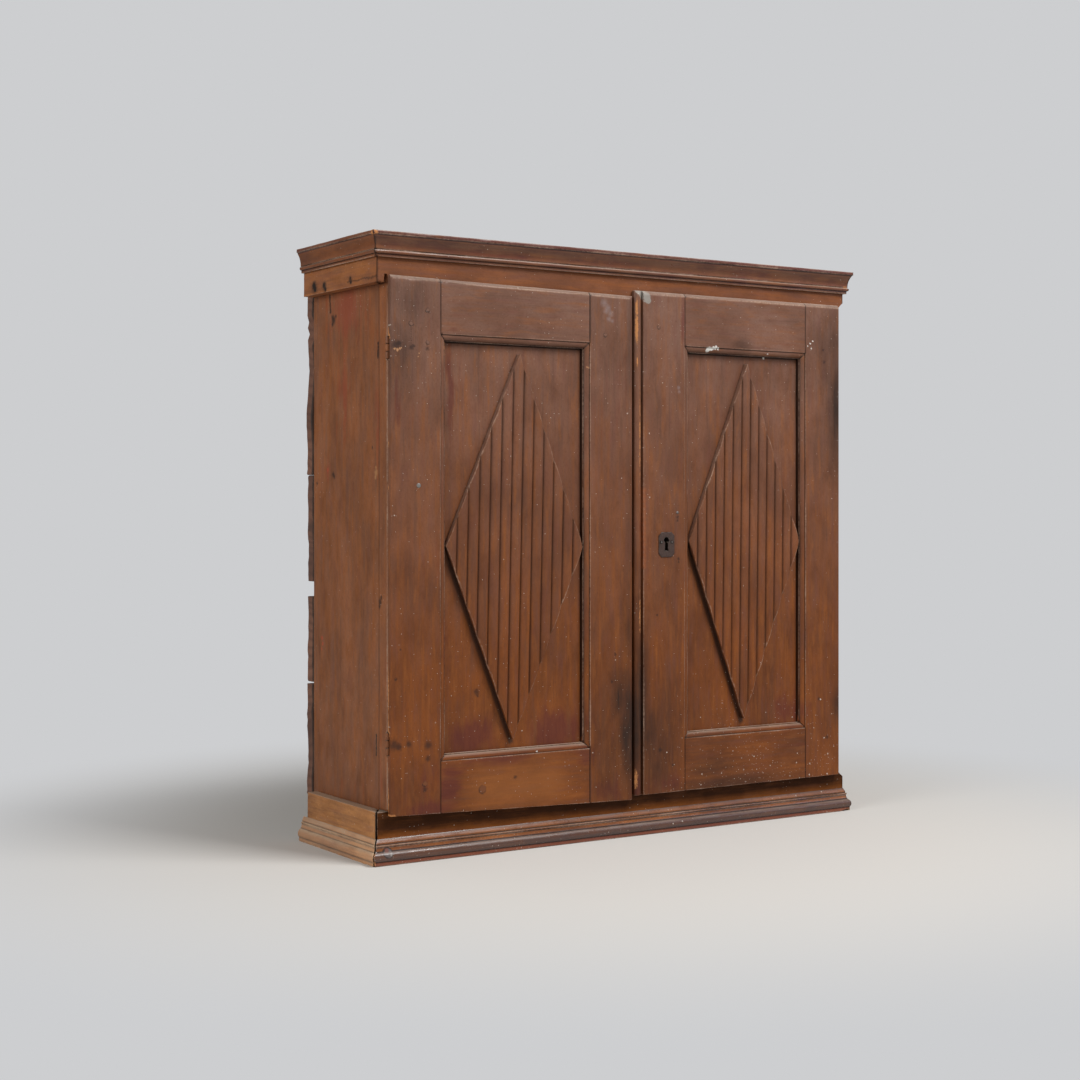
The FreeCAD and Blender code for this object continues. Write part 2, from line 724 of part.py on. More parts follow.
def carcass_nodes():
    frieze = (opening_top, top_board_low)
    plinth = (0, plinth_height)
    nodes = {
        "side_left": side_board(),
        "side_right": mirrored(side_board()),
        "top_board": top_board(),
        "bottom_board": bottom_board(),
        "shelf_lower": shelf(lower_shelf_height),
        "shelf_upper": shelf(upper_shelf_height),
        "shelf_cleats": shelf_cleats(),
        "edge_strip_left": edge_strip(),
        "edge_strip_right": mirrored(edge_strip()),
        "frieze_front": front_apron(*frieze),
        "frieze_left": side_apron(*frieze, 0, 0),
        "frieze_right": mirrored(side_apron(*frieze, 0, 0)),
        "plinth_front": front_apron(*plinth),
        "plinth_left": side_apron(*plinth, open_mitre, side_plinth_setback),
        "plinth_right": mirrored(side_apron(*plinth, 0, side_plinth_setback)),
        "cornice_front": front_moulding(cornice_section, cornice_foot()),
        "cornice_left": side_moulding(cornice_section, cornice_foot(), 0),
        "cornice_right": mirrored(side_moulding(cornice_section, cornice_foot(), 0)),
        "base_moulding_front": front_moulding(base_section, 0),
        "base_moulding_left": side_moulding(base_section, 0, open_mitre),
        "base_moulding_right": mirrored(side_moulding(base_section, 0, 0)),
        "hinge_leaves_left": at_each_hinge(fixed_leaf),
        "hinge_leaves_right": mirrored(at_each_hinge(fixed_leaf)),
    }
    for index, board in enumerate(back_boards()):
        nodes[f"back_board_{index + 1}"] = board
    return nodes


def door_nodes(name, plan, edge_cutter, turn):
    """The pieces of one door; turn mirrors them for the right-hand side or leaves them."""
    pieces = {
        "hinge_stile": hinge_stile(plan),
        "meeting_stile": meeting_stile(plan, edge_cutter),
        "top_rail": rail(plan, door_top + OVERRUN, plan.rail_top, plan.sight_top),
        "bottom_rail": rail(plan, door_bottom - OVERRUN, plan.rail_bottom, plan.sight_bottom),
        "panel": door_panel(plan),
        "lozenge": lozenge(plan),
        "hinge_straps": at_each_hinge(hinge_strap),
    }
    return {f"{name}_{piece}": turn(shape) for piece, shape in pieces.items()}


def all_nodes():
    nodes = carcass_nodes()
    rounding = round_over(meeting_round_width, meeting_round_depth)
    rounded_edge = upright_cutter((0, 0), rounding, left_meeting_edge, -1)
    nodes.update(door_nodes("left_door", left_plan(), rounded_edge, lambda shape: shape))
    nodes.update(door_nodes("right_door", right_plan(), meeting_bead(-right_meeting_edge), mirrored))
    stile_with_bead = nodes["right_door_meeting_stile"]
    nodes["right_door_meeting_stile"] = stile_with_bead.cut(keyhole(door_front - OVERRUN, door_back + OVERRUN))
    nodes["escutcheon"] = escutcheon()
    nodes["escutcheon_nails"] = escutcheon_nails()
    nodes["lock_case"] = lock_case()
    nodes["lock_bolt"] = lock_bolt()
    nodes["catch_plate"] = catch_plate()
    nodes["catch_rod"] = catch_rod()
    return nodes


os.makedirs("parts", exist_ok=True)
for node, shape in all_nodes().items():
    shape.exportStep(f"parts/{node}.step")
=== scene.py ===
"""Looks of the painted wall cabinet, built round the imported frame: worn paint, bare pine and iron.

Metres, in the frame of the CAD model. Sizes and places of marks are written in millimetres and turned by MM.
"""

import json
import math
import random

import bmesh
import bpy
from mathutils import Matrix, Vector, noise
from mathutils.bvhtree import BVHTree
from mathutils.kdtree import KDTree


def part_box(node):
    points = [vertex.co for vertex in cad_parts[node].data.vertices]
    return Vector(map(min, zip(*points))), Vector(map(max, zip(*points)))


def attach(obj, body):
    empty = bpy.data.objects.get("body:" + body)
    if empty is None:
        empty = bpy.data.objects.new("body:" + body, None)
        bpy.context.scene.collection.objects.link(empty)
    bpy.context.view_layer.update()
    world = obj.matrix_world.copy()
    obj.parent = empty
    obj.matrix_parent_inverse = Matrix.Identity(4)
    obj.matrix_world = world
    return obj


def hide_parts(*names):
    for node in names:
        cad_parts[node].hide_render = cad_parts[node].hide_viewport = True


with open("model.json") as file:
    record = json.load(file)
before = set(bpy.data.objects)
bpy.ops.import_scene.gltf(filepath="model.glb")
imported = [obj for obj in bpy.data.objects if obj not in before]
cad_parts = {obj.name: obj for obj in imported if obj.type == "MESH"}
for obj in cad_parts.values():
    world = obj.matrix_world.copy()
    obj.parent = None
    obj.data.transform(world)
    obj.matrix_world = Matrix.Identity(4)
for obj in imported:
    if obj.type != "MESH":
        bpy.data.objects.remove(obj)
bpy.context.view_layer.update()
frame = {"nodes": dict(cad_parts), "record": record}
bodies = frame["record"]["behaviour"]["bodies"]
body_of_node = {node: body for body, nodes in bodies.items() for node in nodes}

MM = 0.001
X, Y, Z = 0, 1, 2

# How a board lies: along its grain, across it, and through its thickness
UPRIGHT = (Z, X, Y)
UPRIGHT_AT_SIDE = (Z, Y, X)
LEVEL = (X, Z, Y)
LEVEL_AT_SIDE = (Y, Z, X)
FLAT = (X, Y, Z)

# Planes that spots are laid out on, as the axes that count
FRONT_PLANE = (1, 0, 1)
SIDE_PLANE = (0, 1, 1)

# Ways out of the cabinet
TO_BACK = Vector((0, 1, 0))
DOWN_RIGHT = (1, 0, -1)
UP_RIGHT = (1, 0, 1)
DOWN_FRONT = (0, -1, -1)
UP_FRONT = (0, -1, 1)

# Places on the model that marks go by, in millimetres
DOOR_FRONT = -127.2
PANEL_FRONT = -116.2
PANEL_OPENINGS = ((-316.7, -86, 144.8, 714.8), (105, 324.2, 147.5, 717.5))
MOULDING_BACK = -121.9
GAP_BETWEEN_DOORS = (0.2, 4.7)
GAP_FRONT = -125
BEAD = (5, 15)
BEAD_BACK = -120
LOZENGE_WALL = -122.2
LOZENGE_MIDDLE = 431
KEYHOLE = (61, 430)
KEYHOLE_HALF = (6, 15)
KEYHOLE_FRONT = -127
PLATE_LEFT = 46.3
PLATE_NAILS = (51.4, 70.6)
PLATE_NAILS_HEIGHT = 433
CARCASS_FRONT = -117.5
LOWER_LEFT_CORNER = (-420, CARCASS_FRONT)
OPEN_MITRE = 3
CORNICE_HOLLOW = (840, 851)
CORNICE_FILLET = 853
BASE_FOOT = 6.3
BASE_SWELL_TOP = 20
BASE_LEDGE = 34
BACK_BOARDS_FRONT = 109.5
HORN_CUT = (-409, -403.5)
HORN_ROOT = 803


# Helpers for colours and nodes

VECTOR_MATH = "ShaderNodeVectorMath"
ATTRIBUTE = "ShaderNodeAttribute"
SMOOTH = "SMOOTHSTEP"


def linear(hex_colour):
    """sRGB hex to the linear colour that shaders take."""
    channels = [int(hex_colour[place:place + 2], 16) / 255 for place in (1, 3, 5)]
    return tuple(c / 12.92 if c <= 0.04045 else ((c + 0.055) / 1.055) ** 2.4 for c in channels) + (1.0,)


def add(tree, kind, inputs=(), out=0, **settings):
    """Adds a node with its settings, sets or links its inputs, and returns one of its outputs."""
    node = tree.nodes.new(kind)
    for name, value in settings.items():
        setattr(node, name, value)
    for key, value in dict(inputs).items():
        if isinstance(value, bpy.types.NodeSocket):
            tree.links.new(value, node.inputs[key])
        else:
            node.inputs[key].default_value = value
    return node.outputs[out] if node.outputs else None


def calc(tree, operation, *values, **settings):
    """The result of a maths node on some values."""
    return add(tree, "ShaderNodeMath", enumerate(values), operation=operation, **settings)


def ramp(tree, value, start, full, most=1.0, least=0.0, rise="LINEAR"):
    """Goes from the least where a value is at start to the most where it is at full."""
    return add(tree, "ShaderNodeMapRange", {"Value": value, "From Min": start, "From Max": full,
                                            "To Min": least, "To Max": most}, interpolation_type=rise)


def noise_field(tree, place, scale, octaves, roughness=0.5, distortion=0.0, out=0):
    """A cloudy pattern, with scale features to one unit of place."""
    return add(tree, "ShaderNodeTexNoise", {"Vector": place, "Scale": scale, "Detail": octaves,
                                            "Roughness": roughness, "Distortion": distortion}, out)


def mixed(tree, share, under, over):
    """A share of one colour over another."""
    return add(tree, "ShaderNodeMixRGB", {"Fac": share, "Color1": under, "Color2": over})


def covered(tree, paint, value, start, full, most, colour):
    """Lays a colour over the paint: none of it where a value is at start, the most of it from full on."""
    cover = ramp(tree, value, start, full, most)
    return mixed(tree, cover, paint, linear(colour))


def blank_material(name):
    """An empty node material, and its tree."""
    material = bpy.data.materials.new(name)
    material.use_nodes = True
    material.node_tree.nodes.clear()
    return material, material.node_tree


def surfaced(tree, colour, rough, relief, depth, strength, others=()):
    """Ends a material with its shader, in relief of a depth, and with other inputs of the shader's."""
    bump = add(tree, "ShaderNodeBump", {"Height": relief, "Distance": depth, "Strength": strength})
    shader = add(tree, "ShaderNodeBsdfPrincipled", {"Base Color": colour, "Roughness": rough, "Normal": bump,
                                                    **dict(others)})
    add(tree, "ShaderNodeOutputMaterial", {"Surface": shader})


def filled_mesh(name, bm, *finishes):
    """A smooth mesh with its finishes, made from a bmesh, which is freed."""
    mesh = bpy.data.meshes.new(name)
    for finish in finishes:
        mesh.materials.append(finish)
    bm.to_mesh(mesh)
    bm.free()
    for face in mesh.polygons:
        face.use_smooth = True
    return mesh


def new_object(name, data):
    """An object that holds some data, linked into the scene."""
    made = bpy.data.objects.new(name, data)
    bpy.context.scene.collection.objects.link(made)
    return made


# Marks on the doors' fronts, in millimetres as x, z, half width, half height and strength

SOOT = [
    (-4, 160, 26, 90, 1.0), (-24, 205, 22, 60, 0.7), (-8, 300, 14, 70, 0.5), (16, 190, 12, 130, 0.9),
    (30, 140, 26, 60, 0.6), (12, 330, 9, 60, 0.5), (40, 100, 40, 40, 0.5), (400, 640, 24, 120, 0.8),
    (378, 690, 22, 70, 0.4), (402, 168, 12, 26, 0.8), (-384, 700, 28, 60, 0.5), (-372, 765, 40, 50, 0.4),
    (207, 733, 18, 10, 0.6), (190, 66, 110, 12, 0.7), (150, 90, 60, 20, 0.45), (372, 735, 26, 60, 0.4),
    (330, 690, 40, 60, 0.25), (-42, 700, 24, 90, 0.2), (-230, 62, 90, 8, 0.3), (392, 745, 26, 60, 0.5),
    (385, 600, 30, 90, 0.3), (-6, 720, 10, 120, 0.35), (-5, 500, 9, 160, 0.3), (-40, 120, 40, 80, 0.45),
    (50, 130, 45, 70, 0.45), (45, 420, 40, 120, 0.2), (-50, 440, 40, 120, 0.12),
]
RED = [
    (-272, 164, 44, 26, 0.9), (-128, 164, 50, 30, 1.0), (300, 164, 36, 26, 0.8), (-312, 104, 22, 36, 0.9),
    (-230, 131, 70, 8, 0.8), (-150, 108, 40, 10, 0.4), (-86, 122, 18, 18, 0.7), (-345, 70, 40, 16, 0.9),
    (-352, 108, 9, 24, 0.6), (-40, 72, 40, 24, 0.6), (-307, 640, 6, 80, 0.9), (320, 110, 40, 14, 0.5),
    (112, 124, 16, 12, 0.5), (60, 74, 40, 20, 0.6), (92, 760, 8, 40, 0.6), (9, 74, 9, 26, 0.9),
    (-316, 300, 5, 60, 0.6), (20, 420, 10, 80, 0.5), (-20, 640, 14, 60, 0.4), (-395, 640, 7, 50, 0.6),
]
BARE = [
    (-404, 720, 3, 12, 1.0), (-404, 570, 2.5, 8, 0.9), (-404, 512, 2.5, 8, 0.9), (-404, 235, 2.5, 45, 0.9),
    (-404, 185, 3, 20, 1.0), (-404, 130, 3, 10, 0.7), (-403.5, 88, 3, 24, 1.0), (-401, 67, 6, 7, 1.0),
    (7.5, 780, 2.5, 18, 0.8), (7.5, 750, 2.5, 26, 1.0), (8, 700, 2, 14, 0.7), (13, 590, 3, 120, 0.6),
    (13, 330, 3, 60, 0.6), (6, 84, 5, 22, 0.7), (-321, 250, 4, 60, 0.6), (-318, 706, 6, 30, 0.5),
    (318, 300, 5, 60, 0.5),
]

# Red remains on the outer faces of the sides, as y, z, half width, half height and strength
SIDE_RED = [
    (0, 765, 60, 44, 0.8), (10, 650, 22, 80, 0.55), (-88, 620, 10, 120, 0.55), (62, 538, 12, 16, 0.6),
    (-100, 120, 8, 40, 0.6), (20, 90, 80, 16, 0.3),
]

# Small spots on the doors' fronts, in millimetres as x, z and radius
NAIL_HOLES = [
    (-372, 704, 4.0), (-368, 706, 2.2), (-347, 703, 3.4), (-396, 706, 7.0), (-391, 709, 4.5),
    (-399, 163, 8.0), (-391, 160, 5.0), (-376, 163, 5.0), (-346, 159, 6.5), (-351, 99, 4.0),
    (-346, 141, 4.5), (-262, 227, 5.0), (-260, 221, 3.0), (-396, 252, 2.4), (-389, 292, 1.6),
    (-32, 270, 2.8), (-38, 230, 2.4), (44, 325, 2.2), (50, 124, 4.0), (73, 100, 2.6), (82, 470, 3.0),
    (82, 465, 2.2), (84, 408, 2.8), (84, 403, 2.0), (372, 714, 3.0), (370, 733, 2.4), (378, 121, 3.4),
    (-205, 104, 3.0), (-190, 268, 1.4), (361, 182, 3.0), (-370, 735, 2.0),
]
PLUGS = [
    (-372.8, 736, 3.8), (-346.6, 755.6, 4.0), (-346.7, 711, 3.4), (-351, 106, 4.0), (-50, 736, 3.6),
    (47, 752, 3.4), (-259, 91, 6.5),
]
CRACKS = [(-372.5, 731 - 3 * step, 0.9) for step in range(8)]
CHIPS = [
    (-398, 701, 1.8), (-394, 699.5, 2.0), (-390, 701, 1.8), (-388, 703, 1.2), (-360, 696, 1.3),
    (-361, 691, 1.0), (-81, 688, 1.2), (-78, 688, 1.2),
]
WHITE_CHIPS = [
    (140, 723.0, 3.6), (143, 725.0, 3.6), (147, 724.5, 3.0), (151, 726.5, 2.8), (155, 727.0, 3.2),
    (160, 726.0, 2.0), (257, 716, 1.8), (258, 722, 1.2), (343, 742, 1.6), (348, 746, 1.4),
    (338, 738, 1.2), (345, 734, 1.4), (-168, 138, 1.1), (365, 181, 1.2), (372, 120, 1.2),
]
GREY_CHIPS = [
    (10, 805, 5.0), (14, 803, 6.5), (19, 800, 7.5), (25, 797, 7.0), (28, 791, 5.0), (23, 792, 4.0),
]
SMEARS = [
    (-52, 783, 6.0), (-45, 776, 5.0), (-49, 771, 4.0), (-40, 768, 5.0), (-43, 760, 4.0), (-37, 757, 3.0),
    (84, 664, 3.0), (85, 658, 2.4),
]
WORN_BAND = [(20.5, 510 - 8 * step, 4.5) for step in range(15)]
OCHRE_PATCH = [(x, 92, 36) for x in (-250, -200, -150)]

# The faces of the plugs, paler high on the doors than low down, following the doors' painted sheen
UPPER_PLUG_FACES = [(x + 0.5, z + 0.7, 0.72 * radius) for x, z, radius in PLUGS if z > 400]
LOWER_PLUG_FACES = [(x + 0.5, z + 0.7, 0.82 * radius) for x, z, radius in PLUGS if z < 400]

# Each set has a colour, the share of it that shows, and how much of the radius its edge takes
DOOR_SPOTS = [
    ("#98532a", 0.5, 1.2, WORN_BAND), ("#9c5f2e", 0.5, 1.5, OCHRE_PATCH), ("#231a18", 0.65, 1.2, NAIL_HOLES),
    ("#2c1d17", 0.75, 0.5, PLUGS), ("#7b5a4a", 0.8, 0.5, UPPER_PLUG_FACES),
    ("#77472b", 0.9, 0.4, LOWER_PLUG_FACES), ("#3a2418", 0.7, 0.8, CRACKS), ("#b98a62", 0.8, 1.0, CHIPS),
    ("#a3a0a6", 0.22, 1.5, SMEARS), ("#d2d0ca", 0.95, 0.5, WHITE_CHIPS), ("#8f8880", 0.9, 0.4, GREY_CHIPS),
]

# The same on the outer faces of the sides, as y, z and radius
SIDE_SPOTS = [
    ("#2c1d15", 0.85, 1.2, [(48, 757, 4.5), (44, 753, 6.0), (38, 758, 3.5), (49, 748, 4.0), (46, 532, 4.5),
                           (42, 529, 3.0), (-74, 568, 2.2), (-100, 362, 3.2), (-97, 356, 5.0),
                           (-95, 350, 3.2), (98, 520, 3.0)]),
    ("#24160f", 0.85, 1.3, [(57 - 0.3 * step, 789 - 3 * step, 2.6) for step in range(9)]),
    ("#8c5643", 0.6, 1.0, [(54 - 0.4 * step, 762 - 4 * step, 1.6) for step in range(14)]),
    ("#2a1c14", 0.9, 0.6, [(-90.6, 711 - 2 * step, 2.0) for step in range(11)]),
    ("#2a1c14", 0.9, 0.6, [(-86, 173 - 2 * step, 1.8) for step in range(15)]),
    ("#a5784f", 0.7, 1.0, [(-85, 533, 5.0), (-83, 527, 3.0), (-85, 540, 2.6)]),
    ("#a5452c", 0.7, 1.0, [(82, 296, 3.6), (80, 288, 3.0), (83, 280, 2.4), (63, 539, 3.0)]),
]
FRIEZE_SPOTS = [
    ("#3a2517", 0.8, 1.2, [(74, 802, 10.0), (42, 800, 8.0), (-39, 801, 6.0)]),
    ("#140d0a", 0.95, 0.9, [(76, 805, 6.0), (72, 799, 4.5), (43, 802, 4.5), (39, 796, 4.0), (-39, 804, 2.6),
                           (-40, 798, 3.4)]),
    ("#3a2418", 0.7, 1.0, [(-30 - 2.5 * step, 799 + math.sin(0.4 * step), 1.5) for step in range(36)]),
]

# A round plug in the base moulding's front, near its left end
BASE_SPOTS = [
    ("#1b1312", 0.95, 0.3, [(-406.5, 17.5, 8.0)]), ("#6a605e", 0.85, 0.4, [(-406.2, 17.2, 6.6)]),
    ("#7d4336", 0.7, 0.8, [(-408, 20.5, 3.4)]), ("#a79f99", 0.6, 0.8, [(-402.5, 14.5, 1.8)]),
]

BLOT_PEAK = 1.4


def blot(x, z, marks):
    """How strongly a set of marks covers a place in millimetres; each fades out at twice its half size."""
    cover = 0.0
    for mark_x, mark_z, half_width, half_height, strength in marks:
        away = math.hypot((x - mark_x) / half_width, (z - mark_z) / half_height)
        cover = max(cover, strength * max(0.0, 1.0 - 0.5 * away) ** 1.5 * BLOT_PEAK)
    return min(cover, 1.0)


# Old paint

BARE_WOOD = ("#d79a63", "#a3602f")
WHITEWASH = "#c9beb2"

# Lengths in metres along and across the board that one feature of a pattern takes, and its octaves
BRUSH_PATTERNS = {
    "streaks": (0.13, 0.008, 5), "hair": (0.06, 0.0011, 3), "clouds": (0.11, 0.07, 4),
    "patches": (0.04, 0.018, 6), "grit": (0.004, 0.003, 4), "tints": (0.05, 0.009, 5),
}

# Thin layers of the coat: pattern, where it starts and is full, the most it covers, and shade
COAT_LAYERS = [
    ("streaks", 0.47, 0.3, 0.32, "umber"), ("tints", 0.52, 0.7, 0.35, "mauve"),
    ("tints", 0.46, 0.3, 0.4, "streak"), ("patches", 0.5, 0.72, 0.24, "umber"),
    ("grit", 0.5, 0.75, 0.3, "umber"), ("hair", 0.57, 0.75, 0.22, "umber"),
]

# Painted shadow beside the lozenges: where it is full and gone across, begun along, and ended past the point
SHADOW_FULL, SHADOW_GONE = 2 * MM, 6 * MM
SHADOW_BEGUN = 30 * MM
SHADOW_PAST_POINT = (4 * MM, 9 * MM)


def edge_marks(tree):
    """What a mesh says of its edges: how rubbed, how darkened by grime and painted shade, and how bare a
    place is.
    """
    edges = add(tree, ATTRIBUTE, out="Vector", attribute_name="edges")
    marks = add(tree, "ShaderNodeSeparateXYZ", {0: edges}).node
    return marks.outputs["X"], marks.outputs["Y"], marks.outputs["Z"]


def brush_fields(tree):
    """The patterns that the paint's layers share: streaks, hair lines, clouds, patches, grit and tints."""
    place = add(tree, "ShaderNodeTexCoord", out="Object")
    board = add(tree, ATTRIBUTE, out="Vector", attribute_name="board")
    fields = {"place": place, "board": board}
    for name, (along, across, octaves) in BRUSH_PATTERNS.items():
        stretch = (1 / along, 1 / across, 1 / across)
        scaled = add(tree, VECTOR_MATH, {0: board, 1: stretch}, operation="MULTIPLY")
        fields[name] = noise_field(tree, scaled, 1, octaves, roughness=0.6, distortion=0.25)
    fields["ragged"] = calc(tree, "ADD", fields["patches"], fields["streaks"])
    return fields


def brushed_coat(tree, fields, shades, ochre):
    """Brown in soft clouds and streaks, warmer where ochre says so, with dark hair lines; where ochre is low,
    as high on the doors, the greyer paint is a painted sheen.
    """
    clouds = fields["clouds"]
    high = covered(tree, linear(shades["cool_dark"]), clouds, 0.36, 0.64, 1.0, shades["cool"])
    low = covered(tree, linear(shades["warm_dark"]), clouds, 0.36, 0.64, 1.0, shades["warm"])
    uneven = calc(tree, "MULTIPLY_ADD", fields["ragged"], 0.7, -0.7)
    warmth = calc(tree, "ADD", uneven, ochre, use_clamp=True)
    paint = mixed(tree, warmth, high, low)
    worn = ramp(tree, fields["streaks"], 0.52, 0.7, 0.55)
    worn = calc(tree, "MULTIPLY", worn, warmth)
    paint = mixed(tree, worn, paint, linear(shades["streak"]))
    for pattern, start, full, most, shade in COAT_LAYERS:
        paint = covered(tree, paint, fields[pattern], start, full, most, shades[shade])
    return paint


def older_red(tree, paint, fields, shades, amount):
    """Remains of a purple-red coat, torn along the grain."""
    torn = calc(tree, "MULTIPLY_ADD", fields["streaks"], 1.6, amount)
    torn = calc(tree, "MULTIPLY_ADD", fields["patches"], 1.2, torn)
    return covered(tree, paint, torn, 1.75, 2.3, 0.68, shades["red"])


def soot_dirt_and_shade(tree, paint, fields, shades, soot, grime_and_shade):
    """Soot where hands have been, with the painted shade some pieces carry in that channel; black dirt and
    painted shade in seams and recesses.
    """
    torn = calc(tree, "MULTIPLY_ADD", fields["hair"], 0.6, fields["ragged"])
    sooty = calc(tree, "MULTIPLY", torn, soot)
    paint = covered(tree, paint, sooty, 0.12, 1.35, 0.9, shades["soot"])
    return covered(tree, paint, grime_and_shade, 0.1, 0.9, 0.96, shades["dirt"])


def rubbed_edges(tree, paint, fields, shades, rubbed, bare):
    """Arrises rubbed pale, and worn through to orange wood in places."""
    pale = calc(tree, "MULTIPLY", rubbed, fields["ragged"])
    pale = calc(tree, "MULTIPLY", pale, fields["grit"])
    paint = covered(tree, paint, pale, 0.12, 0.4, 0.8, shades["pale"])
    through = calc(tree, "MULTIPLY", bare, fields["grit"])
    through = ramp(tree, through, 0.2, 0.34, 0.9, rise=SMOOTH)
    wood = mixed(tree, fields["hair"], linear(BARE_WOOD[0]), linear(BARE_WOOD[1]))
    return mixed(tree, through, paint, wood), through


def spotted(tree, paint, fields, spots, plane):
    """Nail holes, cracks and chips: small spots laid out on a plane, with ragged edges."""
    # Waves 3 mm long shake the edges by up to 2.5 mm
    wobble = noise_field(tree, fields["place"], 300, 3, out="Color")
    wobble = add(tree, VECTOR_MATH, {0: wobble, 1: (0.5, 0.5, 0.5)}, operation="SUBTRACT")
    wobble = add(tree, VECTOR_MATH, {0: wobble, "Scale": 5 * MM}, operation="SCALE")
    shaken = add(tree, VECTOR_MATH, {0: fields["place"], 1: wobble}, operation="ADD")
    level = add(tree, VECTOR_MATH, {0: shaken, 1: plane}, operation="MULTIPLY")
    for colour, share, fade, marks in spots:
        for first, z, radius in marks:
            centre = (first * MM * plane[X], first * MM * plane[Y], z * MM)
            away = add(tree, VECTOR_MATH, {0: level, 1: centre}, out="Value", operation="DISTANCE")
            cover = ramp(tree, away, (1 + fade / 3) * radius * MM, (1 - 2 * fade / 3) * radius * MM, share,
                         rise=SMOOTH)
            paint = mixed(tree, cover, paint, linear(colour))
    return paint


def shadow_beside_lozenges(tree, paint, fields, shades, lozenge_edges):
    """Painted shadow on the panels along the lozenges' lower left edges, running on a little below their
    points.
    """
    for side_point, foot in lozenge_edges:
        edge = Vector((foot.x - side_point.x, 0, foot.z - side_point.z))
        downward = edge.normalized()
        outward = Vector((downward.z, 0, -downward.x))
        from_point = add(tree, VECTOR_MATH, {0: fields["place"], 1: side_point}, operation="SUBTRACT")
        along, away = (add(tree, VECTOR_MATH, {0: from_point, 1: way}, out="Value",
                           operation="DOT_PRODUCT") for way in (downward, outward))
        away = calc(tree, "ABSOLUTE", away)
        cover = ramp(tree, away, SHADOW_GONE, SHADOW_FULL, 0.75, rise=SMOOTH)
        begun = ramp(tree, along, 0, SHADOW_BEGUN)
        going = ramp(tree, along, edge.length + SHADOW_PAST_POINT[1], edge.length + SHADOW_PAST_POINT[0])
        for part in (begun, going):
            cover = calc(tree, "MULTIPLY", cover, part)
        paint = mixed(tree, cover, paint, linear(shades["soot"]))
    return paint


def splashes(tree, paint, fields, density, grime_and_shade, cell, radius):
    """Drops of whitewash, one at most in each cell, thicker in some places than in others."""
    uneven = ramp(tree, fields["clouds"], 0.4, 0.65, 1.6, 0.25)
    density = calc(tree, "MULTIPLY", density, uneven)
    density = calc(tree, "SUBTRACT", density, grime_and_shade)
    scaled = add(tree, VECTOR_MATH, {0: fields["board"], "Scale": 1 / cell}, operation="SCALE")
    drops = add(tree, "ShaderNodeTexVoronoi", {"Vector": scaled, "Scale": 1}, voronoi_dimensions="2D").node
    chance = add(tree, "ShaderNodeSeparateColor", {0: drops.outputs["Color"]}).node
    wanted = calc(tree, "LESS_THAN", chance.outputs["Red"], density)
    size = ramp(tree, chance.outputs["Green"], 0, 1, radius / cell, 0.4 * radius / cell)
    drop = calc(tree, "LESS_THAN", drops.outputs["Distance"], size)
    drop = calc(tree, "MULTIPLY", drop, wanted)
    cover = calc(tree, "MULTIPLY", drop, chance.outputs["Blue"])
    return mixed(tree, cover, paint, linear(WHITEWASH)), drop


def dusty(tree, paint, fields, shades, ledges, everywhere):
    """Grey dust on what faces up, and a thin film of it everywhere."""
    normal = add(tree, "ShaderNodeNewGeometry", out="True Normal")
    upward = add(tree, "ShaderNodeSeparateXYZ", {0: normal}, out="Z")
    dust = calc(tree, "MULTIPLY", upward, fields["ragged"])
    dust = ramp(tree, dust, 0.32, 0.95, ledges)
    film = calc(tree, "MULTIPLY_ADD", fields["patches"], 2 * everywhere, dust)
    film = calc(tree, "MINIMUM", film, 0.92)
    paint = mixed(tree, film, paint, linear(shades["dust"]))
    return paint, film


def old_paint(name, shades, spots=(), plane=FRONT_PLANE, rough=0.5, gloss=0.25, ledges=0.6, film=0.0,
              lozenge_edges=()):
    """Oil paint brushed on pine long ago, never cleaned: cloudy brown, red remains, dirt, painted shade and
    sheen, rubbed arrises.
    """
    material, tree = blank_material(name)
    fields = brush_fields(tree)
    stain_and_light = add(tree, ATTRIBUTE, attribute_name="stain_and_light").node
    soot_and_shade_red_warmth = add(tree, "ShaderNodeSeparateColor", {0: stain_and_light.outputs["Color"]}).node
    rubbed, grime_and_shade, bare = edge_marks(tree)

    paint = brushed_coat(tree, fields, shades, soot_and_shade_red_warmth.outputs["Blue"])
    paint = older_red(tree, paint, fields, shades, soot_and_shade_red_warmth.outputs["Green"])
    paint = soot_dirt_and_shade(tree, paint, fields, shades, soot_and_shade_red_warmth.outputs["Red"], grime_and_shade)
    paint, through = rubbed_edges(tree, paint, fields, shades, rubbed, bare)
    if spots:
        paint = spotted(tree, paint, fields, spots, plane)
    paint = shadow_beside_lozenges(tree, paint, fields, shades, lozenge_edges)
    many = stain_and_light.outputs["Alpha"]
    paint, _ = splashes(tree, paint, fields, many, grime_and_shade, 7 * MM, 0.55 * MM)
    few = calc(tree, "SUBTRACT", many, 0.15)
    paint, drop = splashes(tree, paint, fields, few, grime_and_shade, 19 * MM, 1.25 * MM)
    paint, dust = dusty(tree, paint, fields, shades, ledges, film)

    # Satin where it is clean, dull where it is dusty; grain, brush marks and large drops stand in low relief
    shine = ramp(tree, fields["patches"], 0.3, 0.7, rough + 0.12, rough - 0.08)
    shine = calc(tree, "MULTIPLY_ADD", dust, 0.35, shine, use_clamp=True)
    relief = fields["ragged"]
    for height, share in ((fields["hair"], 0.5), (drop, 0.8), (through, -0.7)):
        relief = calc(tree, "MULTIPLY_ADD", height, share, relief)
    surfaced(tree, paint, shine, relief, 0.35 * MM, 0.6, {"Specular IOR Level": gloss})
    return material


# Bare pine and iron

PINE_GRIME_AND_SHADE = "#1d1612"
IRON_GRIME_AND_SHADE = "#120d0b"
RUBBED_IRON = "#c4bfb6"

# Features per metre along and across the board: waves of the grain 450 by 110 mm, knots 310 by 140 mm apart,
# fibres 110 by 1.4 mm, patches of dirt 170 by 90 mm
PINE_PATTERNS = {"wave": (2.2, 9), "knot": (3.2, 7), "fibre": (9, 700), "dirt": (6, 11)}
# Growth lines come once in 2 units, so 150 units per metre put them 13 mm apart
GROWTH = 150


